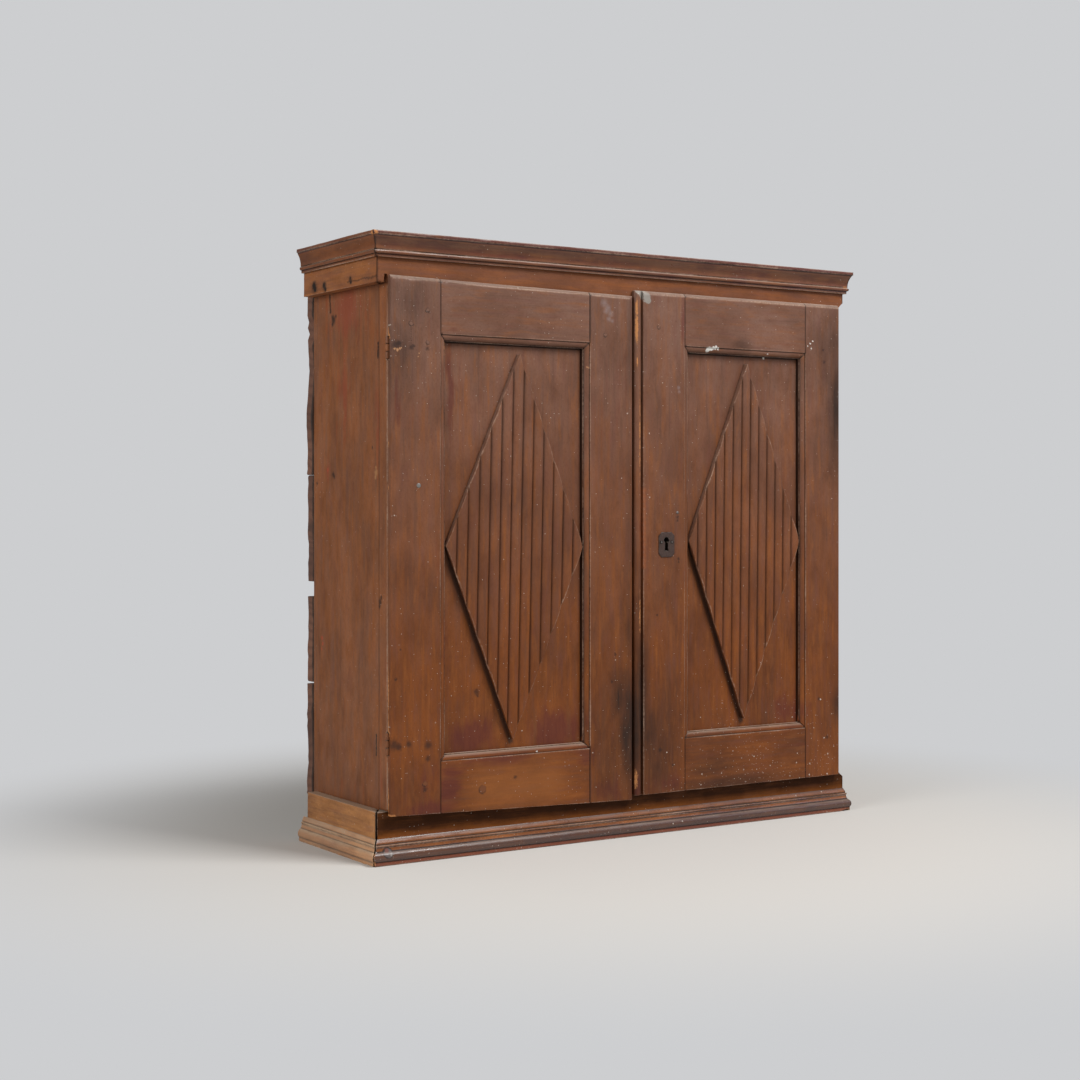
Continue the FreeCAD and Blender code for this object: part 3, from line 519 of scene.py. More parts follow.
def old_pine(name, shades):
    """Sawn pine left bare and darkened with age: pale and dark growth lines along the board, a few knots,
    grey dirt, a dry matt surface."""
    material, tree = blank_material(name)
    board = add(tree, ATTRIBUTE, out="Vector", attribute_name="board")
    _, grime_and_shade, _ = edge_marks(tree)
    places = {}
    for pattern, (along, across) in PINE_PATTERNS.items():
        stretch = (along, across, across)
        places[pattern] = add(tree, VECTOR_MATH, {0: board, 1: stretch}, operation="MULTIPLY")
    wave = noise_field(tree, places["wave"], 1, 2)
    knot = add(tree, "ShaderNodeTexVoronoi", {"Vector": places["knot"], "Scale": 1}, voronoi_dimensions="2D")
    fibre = noise_field(tree, places["fibre"], 1, 4)
    dirt = noise_field(tree, places["dirt"], 1, 5)

    # The growth lines are bent by the waves and round the knots
    around_knot = ramp(tree, knot, 0.3, 0.0, 2.4, rise=SMOOTH)
    across = add(tree, "ShaderNodeSeparateXYZ", {0: board}, out="Y")
    rings = calc(tree, "MULTIPLY_ADD", across, GROWTH, around_knot)
    rings = calc(tree, "MULTIPLY_ADD", wave, 9, rings)
    rings = calc(tree, "PINGPONG", rings, 1.0)

    wood = covered(tree, linear(shades["pale"]), rings, 0.35, 1.0, 0.75, shades["line"])
    wood = covered(tree, wood, knot, 0.07, 0.03, 0.85, shades["knot"])
    wood = covered(tree, wood, fibre, 0.45, 0.75, 0.45, shades["line"])
    wood = covered(tree, wood, dirt, 0.35, 0.72, 0.85, shades["dirt"])
    # Dirt and painted shade in the seams, and painted shade where the back boards meet the sides
    wood = covered(tree, wood, grime_and_shade, 0.3, 1.0, 0.8, PINE_GRIME_AND_SHADE)

    relief = calc(tree, "MULTIPLY_ADD", fibre, 0.8, rings)
    rough = ramp(tree, dirt, 0, 1, 0.9, 0.66)
    surfaced(tree, wood, rough, relief, 0.3 * MM, 0.7)
    return material


def wrought_iron(name, metal_shade, rust_shade):
    """Hammered iron gone brown: dull grey metal, rust in patches, brighter on the rubbed edges."""
    material, tree = blank_material(name)
    place = add(tree, "ShaderNodeTexCoord", out="Object")
    rubbed, grime_and_shade, _ = edge_marks(tree)

    # Rust blooms 6 mm across, hammer marks 4 mm, pits under 1 mm
    bloom = noise_field(tree, place, 170, 5, roughness=0.65)
    hammer = noise_field(tree, place, 250, 1)
    pits = noise_field(tree, place, 1400, 2)
    rust = ramp(tree, bloom, 0.4, 0.62)
    colour = mixed(tree, rust, linear(metal_shade), linear(rust_shade))
    polish = calc(tree, "MULTIPLY", rubbed, bloom)
    colour = covered(tree, colour, polish, 0.2, 0.5, 0.8, RUBBED_IRON)
    # Dirt and painted shade in the seams, and painted shadow round the plate's nails
    colour = covered(tree, colour, grime_and_shade, 0.1, 1.0, 0.9, IRON_GRIME_AND_SHADE)
    metal = ramp(tree, rust, 0, 1, 0.2, 0.7)
    rough = ramp(tree, rust, 0, 1, 0.75, 0.42)
    relief = calc(tree, "MULTIPLY_ADD", pits, 0.3, hammer)
    surfaced(tree, colour, rough, relief, 0.3 * MM, 0.6, {"Metallic": metal})
    return material


def lower_left_edge(node):
    """A lozenge's left point and its lower one."""
    corners = [vert.co for vert in frame["nodes"][node].data.vertices]
    return min(corners, key=lambda corner: corner.x), min(corners, key=lambda corner: corner.z)


# cool_dark and cool give the greyer paint that, high on the doors, is a painted sheen; soot and dirt also
# serve as painted shade
brown = {
    "cool_dark": "#6b4b3c", "cool": "#7b5a4b", "warm_dark": "#663616", "warm": "#7d4318", "streak": "#8f5324",
    "mauve": "#6c4238", "umber": "#4b2b19", "red": "#5a2723", "soot": "#241a16", "dirt": "#120b08",
    "pale": "#ad8f7b", "dust": "#a09182",
}
# side_brown, side_frieze_brown, side_plinth_brown and dusty_base_brown are lighter copies of the fronts'
# browns: painted light on the sides; the side base is dusty as well
side_brown = {**brown, "cool_dark": "#775341", "cool": "#896450", "warm_dark": "#72411f", "warm": "#8b4e22",
              "red": "#86402c"}
# The lozenges' darkening in reed grooves and seams, dirt and painted shade, is browner than elsewhere
lozenge_brown = {**brown, "dirt": "#2a160c"}
frieze_brown = {**brown, "warm_dark": "#6c3d20", "warm": "#814a26"}
side_frieze_brown = {**brown, "warm_dark": "#8a522c", "warm": "#a56734"}
cornice_brown = {**brown, "cool_dark": "#6a4836", "cool": "#785440", "red": "#4f2126"}
# The plinth front's soot shade is the colour of its painted shadow under the doors
plinth_brown = {**brown, "warm_dark": "#74411a", "warm": "#8c5020", "soot": "#2b1507"}
side_plinth_brown = {**brown, "warm_dark": "#90603a", "warm": "#b17a48"}
base_brown = {**brown, "warm": "#a0602e", "soot": "#4b3834", "red": "#7a3828", "dust": "#927a6c"}
dusty_base_brown = {**brown, "warm_dark": "#a06b48", "warm": "#c88d5d", "pale": "#cfb090", "dust": "#bfa78d"}
grey_brown_pine = {"pale": "#93704f", "line": "#6b4c34", "knot": "#3d271a", "dirt": "#5b4738"}
dark_red_pine = {"pale": "#7c5440", "line": "#5b3829", "knot": "#2f1f16", "dirt": "#4a3129"}

lozenge_edges = [lower_left_edge("left_door_lozenge"), lower_left_edge("right_door_lozenge")]
door_paint = old_paint("brown_door_paint", brown, DOOR_SPOTS, lozenge_edges=lozenge_edges)
side_paint = old_paint("brown_side_paint", side_brown, SIDE_SPOTS, SIDE_PLANE)
lozenge_paint = old_paint("brown_lozenge_paint", lozenge_brown)
frieze_paint = old_paint("brown_frieze_paint", frieze_brown)
side_frieze_paint = old_paint("brown_side_frieze_paint", side_frieze_brown, FRIEZE_SPOTS, SIDE_PLANE)
cornice_paint = old_paint("brown_cornice_paint", cornice_brown, rough=0.34, gloss=0.4)
plinth_paint = old_paint("brown_plinth_paint", plinth_brown, gloss=0.08)
side_plinth_paint = old_paint("brown_side_plinth_paint", side_plinth_brown)
base_paint = old_paint("dark_base_paint", base_brown, BASE_SPOTS, rough=0.24, gloss=0.6, ledges=0.4)
dusty_base_paint = old_paint("dusty_base_paint", dusty_base_brown, film=0.28)
pine = old_pine("weathered_pine", grey_brown_pine)
back_pine = old_pine("dark_back_pine", dark_red_pine)
iron = wrought_iron("rusty_wrought_iron", "#574741", "#43302a")
bright_iron = wrought_iron("rubbed_iron_nail", "#8f8c89", "#5d5049")


# Shapes of the pieces, with rubbed arrises and dark seams, cut into small faces that can carry marks

SHARP_BEND = math.radians(30)
CREASE = math.radians(38)
FLAT_BEND = math.radians(0.3)
SAME_PLACE = 0.01 * MM
LINE_STEP = 1 * MM
LOOK_EVERY = 4
ON_LINE = 0.55 * MM
SEAM_REACH = 0.5 * MM
SEAM_OPENING = 0.4 * MM
BESIDE_LINES = (1.2 * MM, 3.6 * MM)
CLEAR_OF_LINES = 0.6 * MM
CLEAR_OF_CUTS = 0.8 * MM
RUB_REACH = 2.4 * MM
BARE_REACH = 6 * MM

surfaces = {}
for node, shown in frame["nodes"].items():
    corners = [vert.co for vert in shown.data.vertices]
    surfaces[node] = BVHTree.FromPolygons(corners, [face.vertices for face in shown.data.polygons])


def whole_faces(node):
    """A node's shape as whole faces, without the loose triangles it comes in."""
    mesh = frame["nodes"][node].data.copy()
    mesh.attributes.remove(mesh.attributes["custom_normal"])
    bm = bmesh.new()
    bm.from_mesh(mesh)
    bpy.data.meshes.remove(mesh)
    bmesh.ops.remove_doubles(bm, verts=bm.verts, dist=SAME_PLACE)
    bmesh.ops.dissolve_limit(bm, angle_limit=FLAT_BEND, verts=bm.verts, edges=bm.edges)
    return bm


def neighbours_of(node):
    """Surfaces of the other nodes that come within 1 mm of a node's box."""
    low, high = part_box(node)
    found = []
    for other, tree in surfaces.items():
        other_low, other_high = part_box(other)
        close = all(other_low[k] < high[k] + MM and other_high[k] > low[k] - MM for k in (X, Y, Z))
        if other != node and close:
            found.append(tree)
    return found


def touches(point, neighbours):
    """Whether a point lies on one of the neighbours' surfaces."""
    return any(tree.find_nearest(point, SEAM_REACH)[0] is not None for tree in neighbours)


def sharp_lines(bm, neighbours):
    """Points along the free arrises, and along seams: recesses, and arrises that meet another piece."""
    arrises, seams = [], []
    for edge in bm.edges:
        bend = edge.calc_face_angle_signed(0)
        if abs(bend) < SHARP_BEND:
            continue
        start, end = (vert.co for vert in edge.verts)
        count = max(1, round(edge.calc_length() / LINE_STEP))
        for index in range(count + 1):
            point = start.lerp(end, index / count)
            if index % LOOK_EVERY == 0:
                met = bend < 0 or touches(point, neighbours)
            (seams if met else arrises).append(point)
    return arrises, seams


def near_tree(points):
    """Finds the nearest of some points; with no points, one far away."""
    points = points or [(9, 9, 9)]
    tree = KDTree(len(points))
    for index, point in enumerate(points):
        tree.insert(point, index)
    tree.balance()
    return tree


def extent(bm, axis):
    """The lowest and the highest place of a mesh along an axis."""
    places = [vert.co[axis] for vert in bm.verts]
    return min(places), max(places)


def cut_places(bm, axis, pitch):
    """Where a piece is cut across an axis: on an even grid, and close beside its sharp lines."""
    low, high = extent(bm, axis)
    lines = set()
    for edge in bm.edges:
        start, end = (vert.co[axis] for vert in edge.verts)
        if abs(start - end) < SAME_PLACE and abs(edge.calc_face_angle_signed(0)) > SHARP_BEND:
            lines.add(round(start, 5))
    places = [line + side * away for line in lines for away in BESIDE_LINES for side in (-1, 1)]
    places += [low + pitch * index for index in range(1, int((high - low) / pitch))]
    kept = []
    for place in sorted(places):
        clear = all(abs(place - line) > CLEAR_OF_LINES for line in lines)
        if clear and low < place < high and (not kept or place - kept[-1] > CLEAR_OF_CUTS):
            kept.append(place)
    return kept


def bisect(bm, place, normal, **options):
    """Cuts a mesh along a plane."""
    geometry = bm.verts[:] + bm.edges[:] + bm.faces[:]
    bmesh.ops.bisect_plane(bm, geom=geometry, dist=SAME_PLACE, plane_co=place, plane_no=normal, **options)


def cut_up(bm, pitch, more=()):
    """Cuts a piece across all axes, short ones first, and at more places given as axis and millimetres."""
    lengths = [high - low for low, high in (extent(bm, axis) for axis in (X, Y, Z))]
    for axis in sorted((X, Y, Z), key=lambda k: lengths[k]):
        normal = Vector((axis == X, axis == Y, axis == Z))
        places = cut_places(bm, axis, pitch) + [place * MM for cut_axis, place in more if cut_axis == axis]
        for place in places:
            bisect(bm, normal * place, normal)


def rub_down(bm, arris_tree, seam_tree, rub):
    """Moves the arrises in by an uneven amount, in waves of 22 and 6 mm, and opens the seams a little."""
    bm.normal_update()
    moves = []
    for vert in bm.verts:
        if arris_tree.find(vert.co)[2] < ON_LINE:
            uneven = 0.5 + 0.5 * noise.noise(vert.co * 45) + 0.15 * noise.noise(vert.co * 170)
            moves.append((vert, (0.15 + 0.7 * max(0, uneven)) * rub * MM))
        elif seam_tree.find(vert.co)[2] < ON_LINE:
            moves.append((vert, SEAM_OPENING))
    for vert, depth in moves:
        vert.co -= vert.normal * depth


# Where the marks lie on each kind of piece: soot, painted shade or shadow on some pieces, red, warmth, which
# gives way to a painted sheen high on the doors, and share of splash cells that hold a drop

# Warmth falls off towards the doors' tops, where the greyer paint stands in for sheen: a painted reflection
GREY_SHEEN_ABOVE, NO_SHEEN_BELOW = 790, 230
SPLASHED_CENTRE, SPLASHED_HALF = (230, 80), (330, 130)
PLINTH_SHADOW_AND_DIRT = (32, 46)


def even(*amounts):
    """A stain that is the same all over a piece."""
    return lambda point: amounts


apron_stain = even(0.0, 0.1, 0.85, 0.14)
plinth_stain = even(0.0, 0.12, 1.0, 0.2)
hinge_stain = even(0.15, 0.1, 0.6, 0.05)


def door_stain_and_sheen(point):
    """The doors are greyer at the top, a painted sheen, and barer and more orange low down; splashed at the
    lower right.
    """
    x, z = point.x / MM, point.z / MM
    warmth = 0.05 + 0.95 * min(1.0, max(0.0, (GREY_SHEEN_ABOVE - z) / (GREY_SHEEN_ABOVE - NO_SHEEN_BELOW)))
    from_splash = math.hypot((x - SPLASHED_CENTRE[0]) / SPLASHED_HALF[0],
                             (z - SPLASHED_CENTRE[1]) / SPLASHED_HALF[1])
    return blot(x, z, SOOT), blot(x, z, RED), warmth, 0.18 + 0.9 * max(0.0, 1 - from_splash)


def lozenge_stain_and_shade(point):
    """The lozenges' walls carry painted light: full black painted shade where they look down, clean, cool and
    paler where they look up.
    """
    soot, red, warmth, splash = door_stain_and_sheen(point)
    if point.y <= LOZENGE_WALL * MM:
        return soot, red, warmth, splash
    if point.z < LOZENGE_MIDDLE * MM:
        return 1.0, red, warmth, splash
    return 0.0, 0.0, 0.0, splash


def side_stain(point):
    """Red remains near the top and along the front strip."""
    return 0.0, blot(point.y / MM, point.z / MM, SIDE_RED), 0.7, 0.14


def cornice_stain_and_shade(point):
    """Dark red on the top fillet, painted shade in the hollow under it."""
    z = point.z / MM
    soot = 0.25 if CORNICE_HOLLOW[0] < z < CORNICE_HOLLOW[1] else 0.0
    red = 0.6 if z > CORNICE_FILLET else 0.15
    return soot, red, 0.9, 0.14


def cornice_front_stain_and_shade(point):
    """Darker and redder than the side lengths, with more painted shade in the hollow."""
    soot, red, _, splash = cornice_stain_and_shade(point)
    return 1.6 * soot, red + 0.3, 0.45, splash


def plinth_front_stain_and_shadow(point):
    """Painted shadow under the doors, with dirt gathered there too, darkest at the top."""
    start, full = PLINTH_SHADOW_AND_DIRT
    dark = min(1.0, max(0.0, (point.z / MM - start) / (full - start)))
    return dark, 0.12, 1.0, 0.12


def base_stain(point):
    """The swell and the top ledge are dark with polish and dirt, the foot is red."""
    z = point.z / MM
    ledge_soot = 0.6 if z > BASE_LEDGE else 0.1
    soot = 0.95 if BASE_FOOT < z < BASE_SWELL_TOP else ledge_soot
    red = 1.0 if z < BASE_FOOT else 0.15
    return soot, red, 0.9, 0.5


# Where arrises are worn through to the wood

KNOCK_PEAK = 1.3


def nowhere(point):
    return 0.0


def door_bare(point):
    """On the doors' arrises and the bead, at the front only."""
    return blot(point.x / MM, point.z / MM, BARE) if point.y < -105 * MM else 0.0


def on_bead(point):
    """The right door's meeting edge is a round bead, worn as an arris is."""
    return 0.85 if BEAD[0] < point.x / MM < BEAD[1] and point.y < BEAD_BACK * MM else 0.0


def knocked(knocks):
    """Knocked bare by soft balls, given as centre and reach in millimetres."""
    balls = [(Vector(centre), reach) for centre, reach in knocks]

    def bare(point):
        return max(max(0.0, KNOCK_PEAK - (point / MM - centre).length / reach) for centre, reach in balls)
    return bare


# The cornice's corners, the right end of the frieze's lower edge, the open mitre and the base's left foot
cornice_bare = knocked([((-430, -128, 858), 10), ((-426, -124, 842), 6), ((420, -128, 835), 9),
                        ((426, -129, 850), 5)])
frieze_bare = knocked([((x, CARCASS_FRONT, 793), 9) for x in (360, 374, 388, 398)])
base_bare = knocked([((-432, y, 4), 11) for y in (-96, -62, -20, 45)]
                    + [((-431, -122, 16), 9), ((-432, -124, 5), 9), ((-424, -129, 8), 5)])


# Painted shade and shadow apart from the seams: in recesses, gaps and holes, round nails, and along the floor

SHADE_ON_PANEL = 2.4
SLACK = 0.5
LIT_SILL = 6
PANEL_TONGUE = 8
BACK_SHADE = 5


def door_shade(point):
    """Painted shade on the walls behind the mouldings, in the gap between the doors and in the keyhole."""
    x, y, z = point / MM
    if GAP_BETWEEN_DOORS[0] < x < GAP_BETWEEN_DOORS[1] and y > GAP_FRONT:
        return 0.35
    at_keyhole = abs(x - KEYHOLE[0]) < KEYHOLE_HALF[0] and abs(z - KEYHOLE[1]) < KEYHOLE_HALF[1]
    if at_keyhole and y > KEYHOLE_FRONT:
        return 1.0
    for left, right, low, high in PANEL_OPENINGS:
        beside = left - SLACK < x < right + SLACK and low + LIT_SILL < z < high + SLACK
        if beside and MOULDING_BACK < y < PANEL_FRONT + SLACK:
            return 0.75
    return 0.0


def panel_shade(point):
    """The painted shade goes on over the edge of the panel, at its right and top."""
    x, y, z = point / MM
    for left, right, low, high in PANEL_OPENINGS:
        on_panel = left < x < right + PANEL_TONGUE and low < z < high + PANEL_TONGUE
        if on_panel and (x > right - 0.2 or z > high - 0.2):
            return 1.0
    return 0.0


def panel_cuts(left, right, low, high):
    """Cuts at the edge of a panel's opening and where the painted shade on the panel ends."""
    return [(X, right - SHADE_ON_PANEL), (X, right), (Z, high - 1.5 * SHADE_ON_PANEL), (Z, high)]


def mitre_shade(point):
    """Painted shade inside the open mitre at the lower left corner."""
    x, y, z = point / MM
    slope = 1 if y < LOWER_LEFT_CORNER[1] else 2 / 3
    across = (x - LOWER_LEFT_CORNER[0]) - (y - LOWER_LEFT_CORNER[1]) * slope
    at_corner = x < -395 and y < -85
    return 0.95 if at_corner and -OPEN_MITRE - SLACK < across < SLACK else 0.0


def plate_shade(point):
    """Painted shadow round the plate's nails and painted shade along its left edge."""
    x, y, z = point / MM
    from_nail = min(math.hypot(x - nail_x, z - PLATE_NAILS_HEIGHT) for nail_x in PLATE_NAILS)
    return max(0.9 if from_nail < 3.0 else 0.0, 0.6 if x < PLATE_LEFT + 1 else 0.0)


def base_shade(point):
    """A painted contact shadow where the front moulding stands on the floor, and painted shade inside the
    open mitre.
    """
    return max(mitre_shade(point), 0.85 if point.z < 0.6 * MM else 0.0)


def back_shade(point):
    """Painted shade on the back boards' ends where they meet the sides."""
    return 1.0 if point.y < (BACK_BOARDS_FRONT + BACK_SHADE) * MM else 0.0


# Worn pieces

def put_marks(mesh, arris_tree, seam_tree, lie, stain_and_light, shade, bare, rub, grime_and_shade_reach, most_grime_and_shade, offset):
    """Stores what the finishes read: place along the board, nearness of edges and seams, and stains with
    painted shade and sheen.
    """
    for name, kind in (("board", "FLOAT_VECTOR"), ("edges", "FLOAT_VECTOR"), ("stain_and_light", "FLOAT_COLOR")):
        mesh.attributes.new(name, kind, "POINT")
    board, edges, stains_and_light = (mesh.attributes[name] for name in ("board", "edges", "stain_and_light"))
    for index, vert in enumerate(mesh.vertices):
        point = vert.co
        board.data[index].vector = Vector([point[axis] for axis in lie]) + offset
        from_arris = arris_tree.find(point)[2]
        rubbed = max(0.0, 1 - from_arris / RUB_REACH) * rub * (0.65 + 0.35 * noise.noise(point * 14))
        # Dirt and painted shade along seams and recesses, or the piece's own painted shade where that is more
        grime_and_shade = max(shade(point), most_grime_and_shade * (1 - seam_tree.find(point)[2] / grime_and_shade_reach))
        bare_here = max(on_bead(point), 1 - from_arris / BARE_REACH) * bare(point)
        edges.data[index].vector = (rubbed, grime_and_shade, bare_here)
        stains_and_light.data[index].color = stain_and_light(point)


def worn_piece(node, lie, finish, stain_and_light=apron_stain, shade=nowhere, bare=nowhere, rub=0.8, pitch=10 * MM,
               grime_and_shade_reach=2.2 * MM, most_grime_and_shade=1.0, inside=None, inside_finish=pine, shape=None, cuts=()):
    """A wooden or iron piece that stands for its node. Faces that point along inside take inside_finish."""
    bm = whole_faces(node)
    arrises, seams = sharp_lines(bm, neighbours_of(node))
    arris_tree, seam_tree = near_tree(arrises), near_tree(seams)
    cut_up(bm, pitch, cuts)
    rub_down(bm, arris_tree, seam_tree, rub)
    if shape:
        shape(bm)
    bm.normal_update()
    finishes = [finish]
    if inside:
        finishes.append(inside_finish)
        for face in bm.faces:
            face.material_index = 1 if face.normal.dot(inside) > 0.7 else 0
    mesh = filled_mesh("worn_" + node, bm, *finishes)
    mesh.set_sharp_from_angle(angle=CREASE)
    scatter = random.Random(node)
    offset = Vector((scatter.uniform(-4, 4), scatter.uniform(-4, 4), scatter.uniform(-4, 4)))
    put_marks(mesh, arris_tree, seam_tree, lie, stain_and_light, shade, bare, rub, grime_and_shade_reach, most_grime_and_shade, offset)
    piece = new_object("worn_" + node, mesh)
    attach(piece, body_of_node[node])
    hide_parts(node)
    return piece


def knocked_off(start, end, removed):
    """Takes off a corner beyond the plane through two points in millimetres; removed points into the loss."""
    def shape(bm):
        along = Vector(end) - Vector(start)
        across = Vector((0, 1, 0)) if along.y == 0 else Vector((1, 0, 0))
        normal = along.cross(across).normalized()
        if normal.dot(Vector(removed)) < 0:
            normal.negate()
        bisect(bm, Vector(start) * MM, normal, clear_outer=True)
        bmesh.ops.holes_fill(bm, edges=[edge for edge in bm.edges if edge.is_boundary], sides=0)
    return shape


def frieze_ends(bm):
    """The front board's right corner is broken off; its left end is cut to a horn beside the door."""
    knocked_off((398, 0, 791.5), (416, 0, 808), DOWN_RIGHT)(bm)
    for vert in bm.verts:
        if HORN_CUT[0] < vert.co.x / MM < HORN_CUT[1] and vert.co.z < HORN_ROOT * MM:
            vert.co.z = HORN_ROOT * MM


# Doors

for door, opening in zip(("left_door", "right_door"), PANEL_OPENINGS):
    for part, lie in (("hinge_stile", UPRIGHT), ("meeting_stile", UPRIGHT), ("top_rail", LEVEL),
                      ("bottom_rail", LEVEL)):
        beaded = f"{door}_{part}" == "right_door_meeting_stile"
        worn_piece(f"{door}_{part}", lie, door_paint, door_stain_and_sheen, door_shade, door_bare, rub=0.95,
                   grime_and_shade_reach=1.5 * MM, most_grime_and_shade=0.5 if beaded else 1.0, inside=TO_BACK)
    worn_piece(f"{door}_panel", UPRIGHT, door_paint, door_stain_and_sheen, panel_shade, rub=0.4, inside=TO_BACK,
               cuts=panel_cuts(*opening))
    worn_piece(f"{door}_lozenge", UPRIGHT, lozenge_paint, lozenge_stain_and_shade, rub=0.9, grime_and_shade_reach=3.6 * MM,
               most_grime_and_shade=0.6)

# Carcass

for side, inward in (("left", Vector((1, 0, 0))), ("right", Vector((-1, 0, 0)))):
    frieze_loss, plinth_loss = None, None
    if side == "right":
        frieze_loss = knocked_off((0, CARCASS_FRONT, 811), (0, -80, 791.5), DOWN_FRONT)
        plinth_loss = knocked_off((0, CARCASS_FRONT, 54), (0, -80, 72), UP_FRONT)
    for board in ("side", "edge_strip"):
        worn_piece(f"{board}_{side}", UPRIGHT_AT_SIDE, side_paint, side_stain, rub=1.0, pitch=12 * MM,
                   most_grime_and_shade=0.5, inside=inward)
    worn_piece(f"frieze_{side}", LEVEL_AT_SIDE, side_frieze_paint, pitch=12 * MM, shape=frieze_loss)
    worn_piece(f"plinth_{side}", LEVEL_AT_SIDE, side_plinth_paint, plinth_stain, mitre_shade, pitch=12 * MM,
               shape=plinth_loss)
    worn_piece(f"cornice_{side}", LEVEL_AT_SIDE, cornice_paint, cornice_stain_and_shade, bare=cornice_bare, rub=1.2,
               pitch=6 * MM)
    worn_piece(f"base_moulding_{side}", LEVEL_AT_SIDE, dusty_base_paint, plinth_stain, mitre_shade, base_bare,
               rub=1.2, pitch=6 * MM)
worn_piece("frieze_front", LEVEL, frieze_paint, bare=frieze_bare, pitch=12 * MM, inside=TO_BACK,
           shape=frieze_ends, cuts=[(X, place) for edge in HORN_CUT for place in (edge - 0.5, edge + 0.5)])
worn_piece("plinth_front", LEVEL, plinth_paint, plinth_front_stain_and_shadow, mitre_shade, pitch=6 * MM, inside=TO_BACK,
           shape=knocked_off((398, 0, 72), (416, 0, 57), UP_RIGHT))
worn_piece("cornice_front", LEVEL, cornice_paint, cornice_front_stain_and_shade, bare=cornice_bare, rub=1.2,
           pitch=6 * MM)
worn_piece("base_moulding_front", LEVEL, base_paint, base_stain, base_shade, base_bare, rub=1.2, pitch=8 * MM,
           shape=knocked_off((408, 0, 0), (432, 0, 6), DOWN_RIGHT))
for node in ("top_board", "bottom_board", "shelf_lower", "shelf_upper"):
    worn_piece(node, FLAT, pine, pitch=40 * MM)
worn_piece("shelf_cleats", LEVEL_AT_SIDE, pine, pitch=40 * MM)


# Back boards, their ends sawn by eye and the top one eaten by worm

AT_END = 1.5 * MM
WORM_HEIGHTS = (730 * MM, 800 * MM)
WORM_DEPTH = 7 * MM


def wavy_ends(seed, worm=False):
    """Bends both ends of a board in and out along its height, in waves of 45 mm with nicks of 8 mm."""
    def shape(bm):
        low, high = extent(bm, X)
        for vert in bm.verts:
            for end, outward in ((low, -1), (high, 1)):
                if abs(vert.co.x - end) < AT_END:
                    wave = noise.noise(Vector((seed, outward, vert.co.z * 22)))
                    nick = noise.noise(Vector((seed, vert.co.y * 60, vert.co.z * 130)))
                    vert.co.x += outward * (1.0 + 3.0 * wave + 1.2 * nick) * MM
                    if worm and WORM_HEIGHTS[0] < vert.co.z < WORM_HEIGHTS[1] and outward < 0:
                        eaten = noise.noise(Vector((seed, vert.co.y * 90, vert.co.z * 160)))
                        vert.co.x += WORM_DEPTH * abs(eaten)
    return shape


back_cuts = [(Y, BACK_BOARDS_FRONT + BACK_SHADE), (Y, BACK_BOARDS_FRONT + BACK_SHADE + 1)]
for number in range(1, 6):
    worn_piece(f"back_board_{number}", LEVEL, back_pine, shade=back_shade, rub=1.6, pitch=9 * MM,
               shape=wavy_ends(number * 7.3, worm=number == 5), cuts=back_cuts)

# Iron; the hinges were painted over with the sides

worn_piece("escutcheon", UPRIGHT, iron, shade=plate_shade, rub=0.9, pitch=1.5 * MM)
worn_piece("escutcheon_nails", UPRIGHT, bright_iron, rub=0.1, pitch=3 * MM)
for node in ("lock_case", "lock_bolt", "catch_plate", "catch_rod"):
    worn_piece(node, UPRIGHT, iron, rub=0.35, pitch=6 * MM)
for node in ("hinge_leaves_left", "hinge_leaves_right", "left_door_hinge_straps", "right_door_hinge_straps"):
    worn_piece(node, UPRIGHT, side_paint, hinge_stain, rub=0.4, pitch=6 * MM, most_grime_and_shade=0.35, inside=TO_BACK,
               inside_finish=iron)

# A nail head's outline from its middle to its rim, as shares of its radius and rise
NAIL_OUTLINE = ((0, 1), (0.45, 0.93), (0.8, 0.6), (1, 0.15), (1, -0.3))


def nail_head(body, x, z, radius, rise):
    """A low domed head on a door's front, spun from its outline; all in millimetres."""
    bm = bmesh.new()
    outline = [bm.verts.new(((x + radius * share) * MM, (DOOR_FRONT - rise * height) * MM, z * MM))
               for share, height in NAIL_OUTLINE]
    lines = [bm.edges.new(pair) for pair in zip(outline, outline[1:])]
    bmesh.ops.spin(bm, geom=outline + lines, cent=(x * MM, 0, z * MM), axis=(0, 1, 0), angle=2 * math.pi,
                   steps=20, use_merge=True)
    bmesh.ops.remove_doubles(bm, verts=bm.verts, dist=SAME_PLACE)
    bmesh.ops.recalc_face_normals(bm, faces=bm.faces)
    name = f"nail_head_{body}"
    piece = new_object(name, filled_mesh(name, bm, bright_iron))
    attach(piece, body)


nail_head("left_door", x=-360.7, z=515.5, radius=3.3, rise=1.1)
nail_head("right_door", x=81.8, z=477, radius=2.3, rise=0.9)


# Studio: pale floor that fades into the backdrop, soft light from above, camera at the photo's place

BACKDROP = linear("#cdced0")
FLOOR = linear("#cdcac5")
SKY = linear("#f2f0ee")
FLOOR_RADIUS = 30
FLOOR_FADE = (0.45, 1.2)


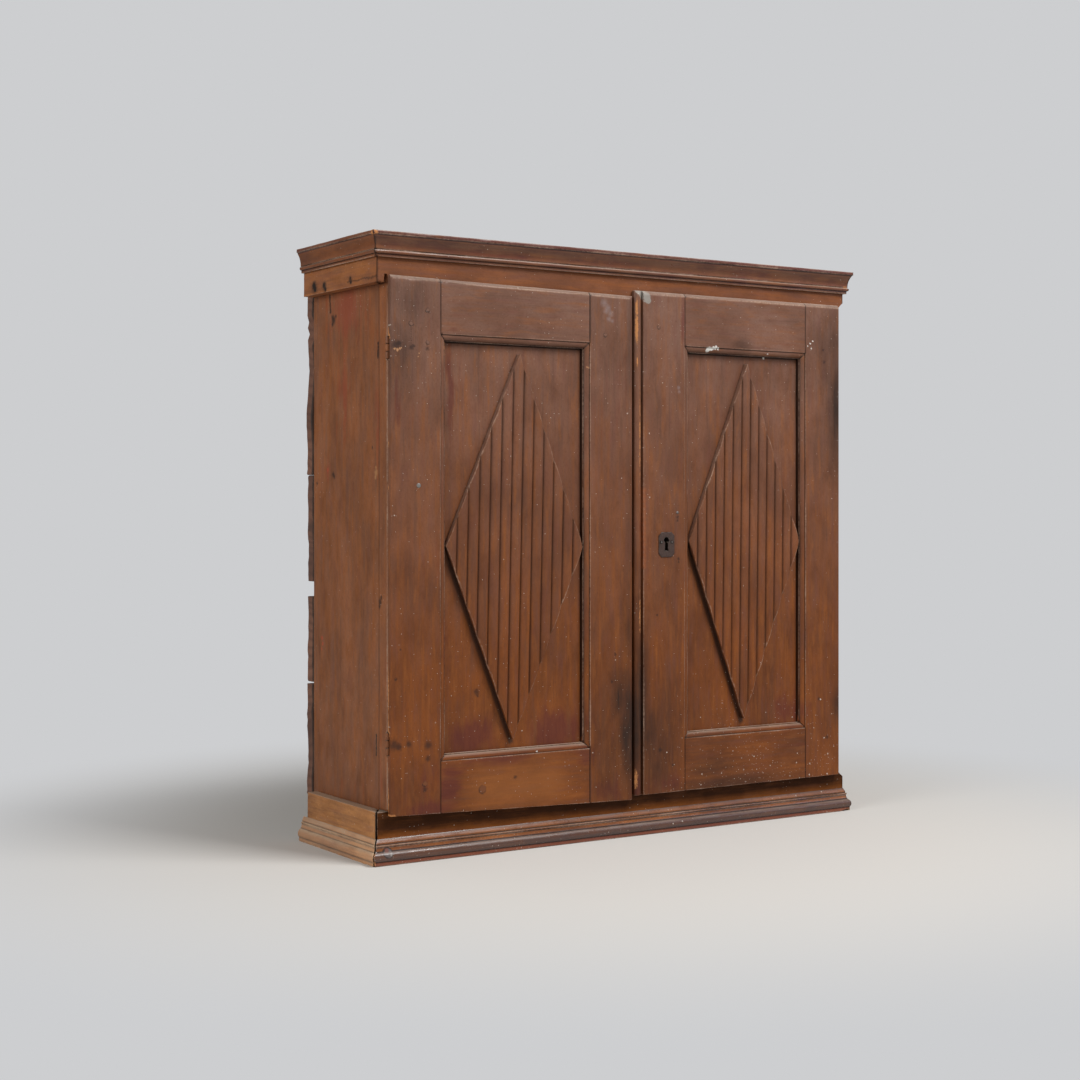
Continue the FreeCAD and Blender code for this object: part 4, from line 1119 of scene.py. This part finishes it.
def studio_floor():
    """Matt pale grey round the cabinet; farther off the camera sees the backdrop's colour."""
    material, tree = blank_material("studio_floor")
    place = add(tree, "ShaderNodeTexCoord", out="Object")
    away = add(tree, VECTOR_MATH, {0: place}, out="Value", operation="LENGTH")
    far = ramp(tree, away, FLOOR_FADE[0], FLOOR_FADE[1], rise=SMOOTH)
    seen = add(tree, "ShaderNodeLightPath", out="Is Camera Ray")
    fade = calc(tree, "MULTIPLY", far, seen)
    matt = add(tree, "ShaderNodeBsdfDiffuse", {"Color": FLOOR})
    glow = add(tree, "ShaderNodeEmission", {"Color": BACKDROP})
    surface = add(tree, "ShaderNodeMixShader", {0: fade, 1: matt, 2: glow})
    add(tree, "ShaderNodeOutputMaterial", {"Surface": surface})
    bm = bmesh.new()
    bmesh.ops.create_circle(bm, cap_ends=True, radius=FLOOR_RADIUS, segments=96)
    floor = new_object("studio_floor", filled_mesh("studio_floor", bm, material))


def studio_world():
    """Even grey light from all round; the camera sees the backdrop."""
    world = bpy.data.worlds.new("studio")
    world.use_nodes = True
    tree = world.node_tree
    tree.nodes.clear()
    rays = add(tree, "ShaderNodeLightPath").node
    direct = calc(tree, "MAXIMUM", rays.outputs["Is Camera Ray"], rays.outputs["Is Transmission Ray"])
    light = add(tree, "ShaderNodeBackground", {"Color": SKY, "Strength": 0.3})
    backdrop = add(tree, "ShaderNodeBackground", {"Color": BACKDROP, "Strength": 1.0})
    surface = add(tree, "ShaderNodeMixShader", {0: direct, 1: light, 2: backdrop})
    add(tree, "ShaderNodeOutputWorld", {"Surface": surface})
    bpy.context.scene.world = world


def softbox(name, place, target, size, watts, colour="#ffffff"):
    """A square soft lamp turned to a target."""
    lamp = bpy.data.lights.new(name, "AREA")
    lamp.shape = "SQUARE"
    lamp.size = size
    lamp.energy = watts
    lamp.color = linear(colour)[:3]
    holder = new_object(name, lamp)
    holder.location = place
    holder.rotation_euler = (Vector(target) - Vector(place)).to_track_quat("-Z", "Y").to_euler()


def photo_camera():
    """Level, 0.49 m up, turned 33 degrees to the doors."""
    camera = new_object("photo_camera", bpy.data.cameras.new("photo_camera"))
    camera.location = (-1.5967, -2.3430, 0.4924)
    camera.rotation_euler = (math.radians(90), 0, math.radians(-32.9006))
    camera.data.sensor_width = 36
    camera.data.lens = 61.74
    camera.data.shift_y = -0.0349
    bpy.context.scene.camera = camera


studio_floor()
studio_world()
softbox("key", place=(0.85, -1.75, 3.0), target=(0, -0.1, 0.4), size=1.3, watts=98)
softbox("left", place=(-3.0, -0.8, 1.6), target=(-0.4, 0, 0.4), size=1.6, watts=46)
softbox("window", place=(2.7, -2.3, 1.5), target=(0.4, -0.13, 0.8), size=1.0, watts=6, colour="#dbe2ff")
photo_camera()
bpy.context.scene.view_settings.view_transform = "Standard"
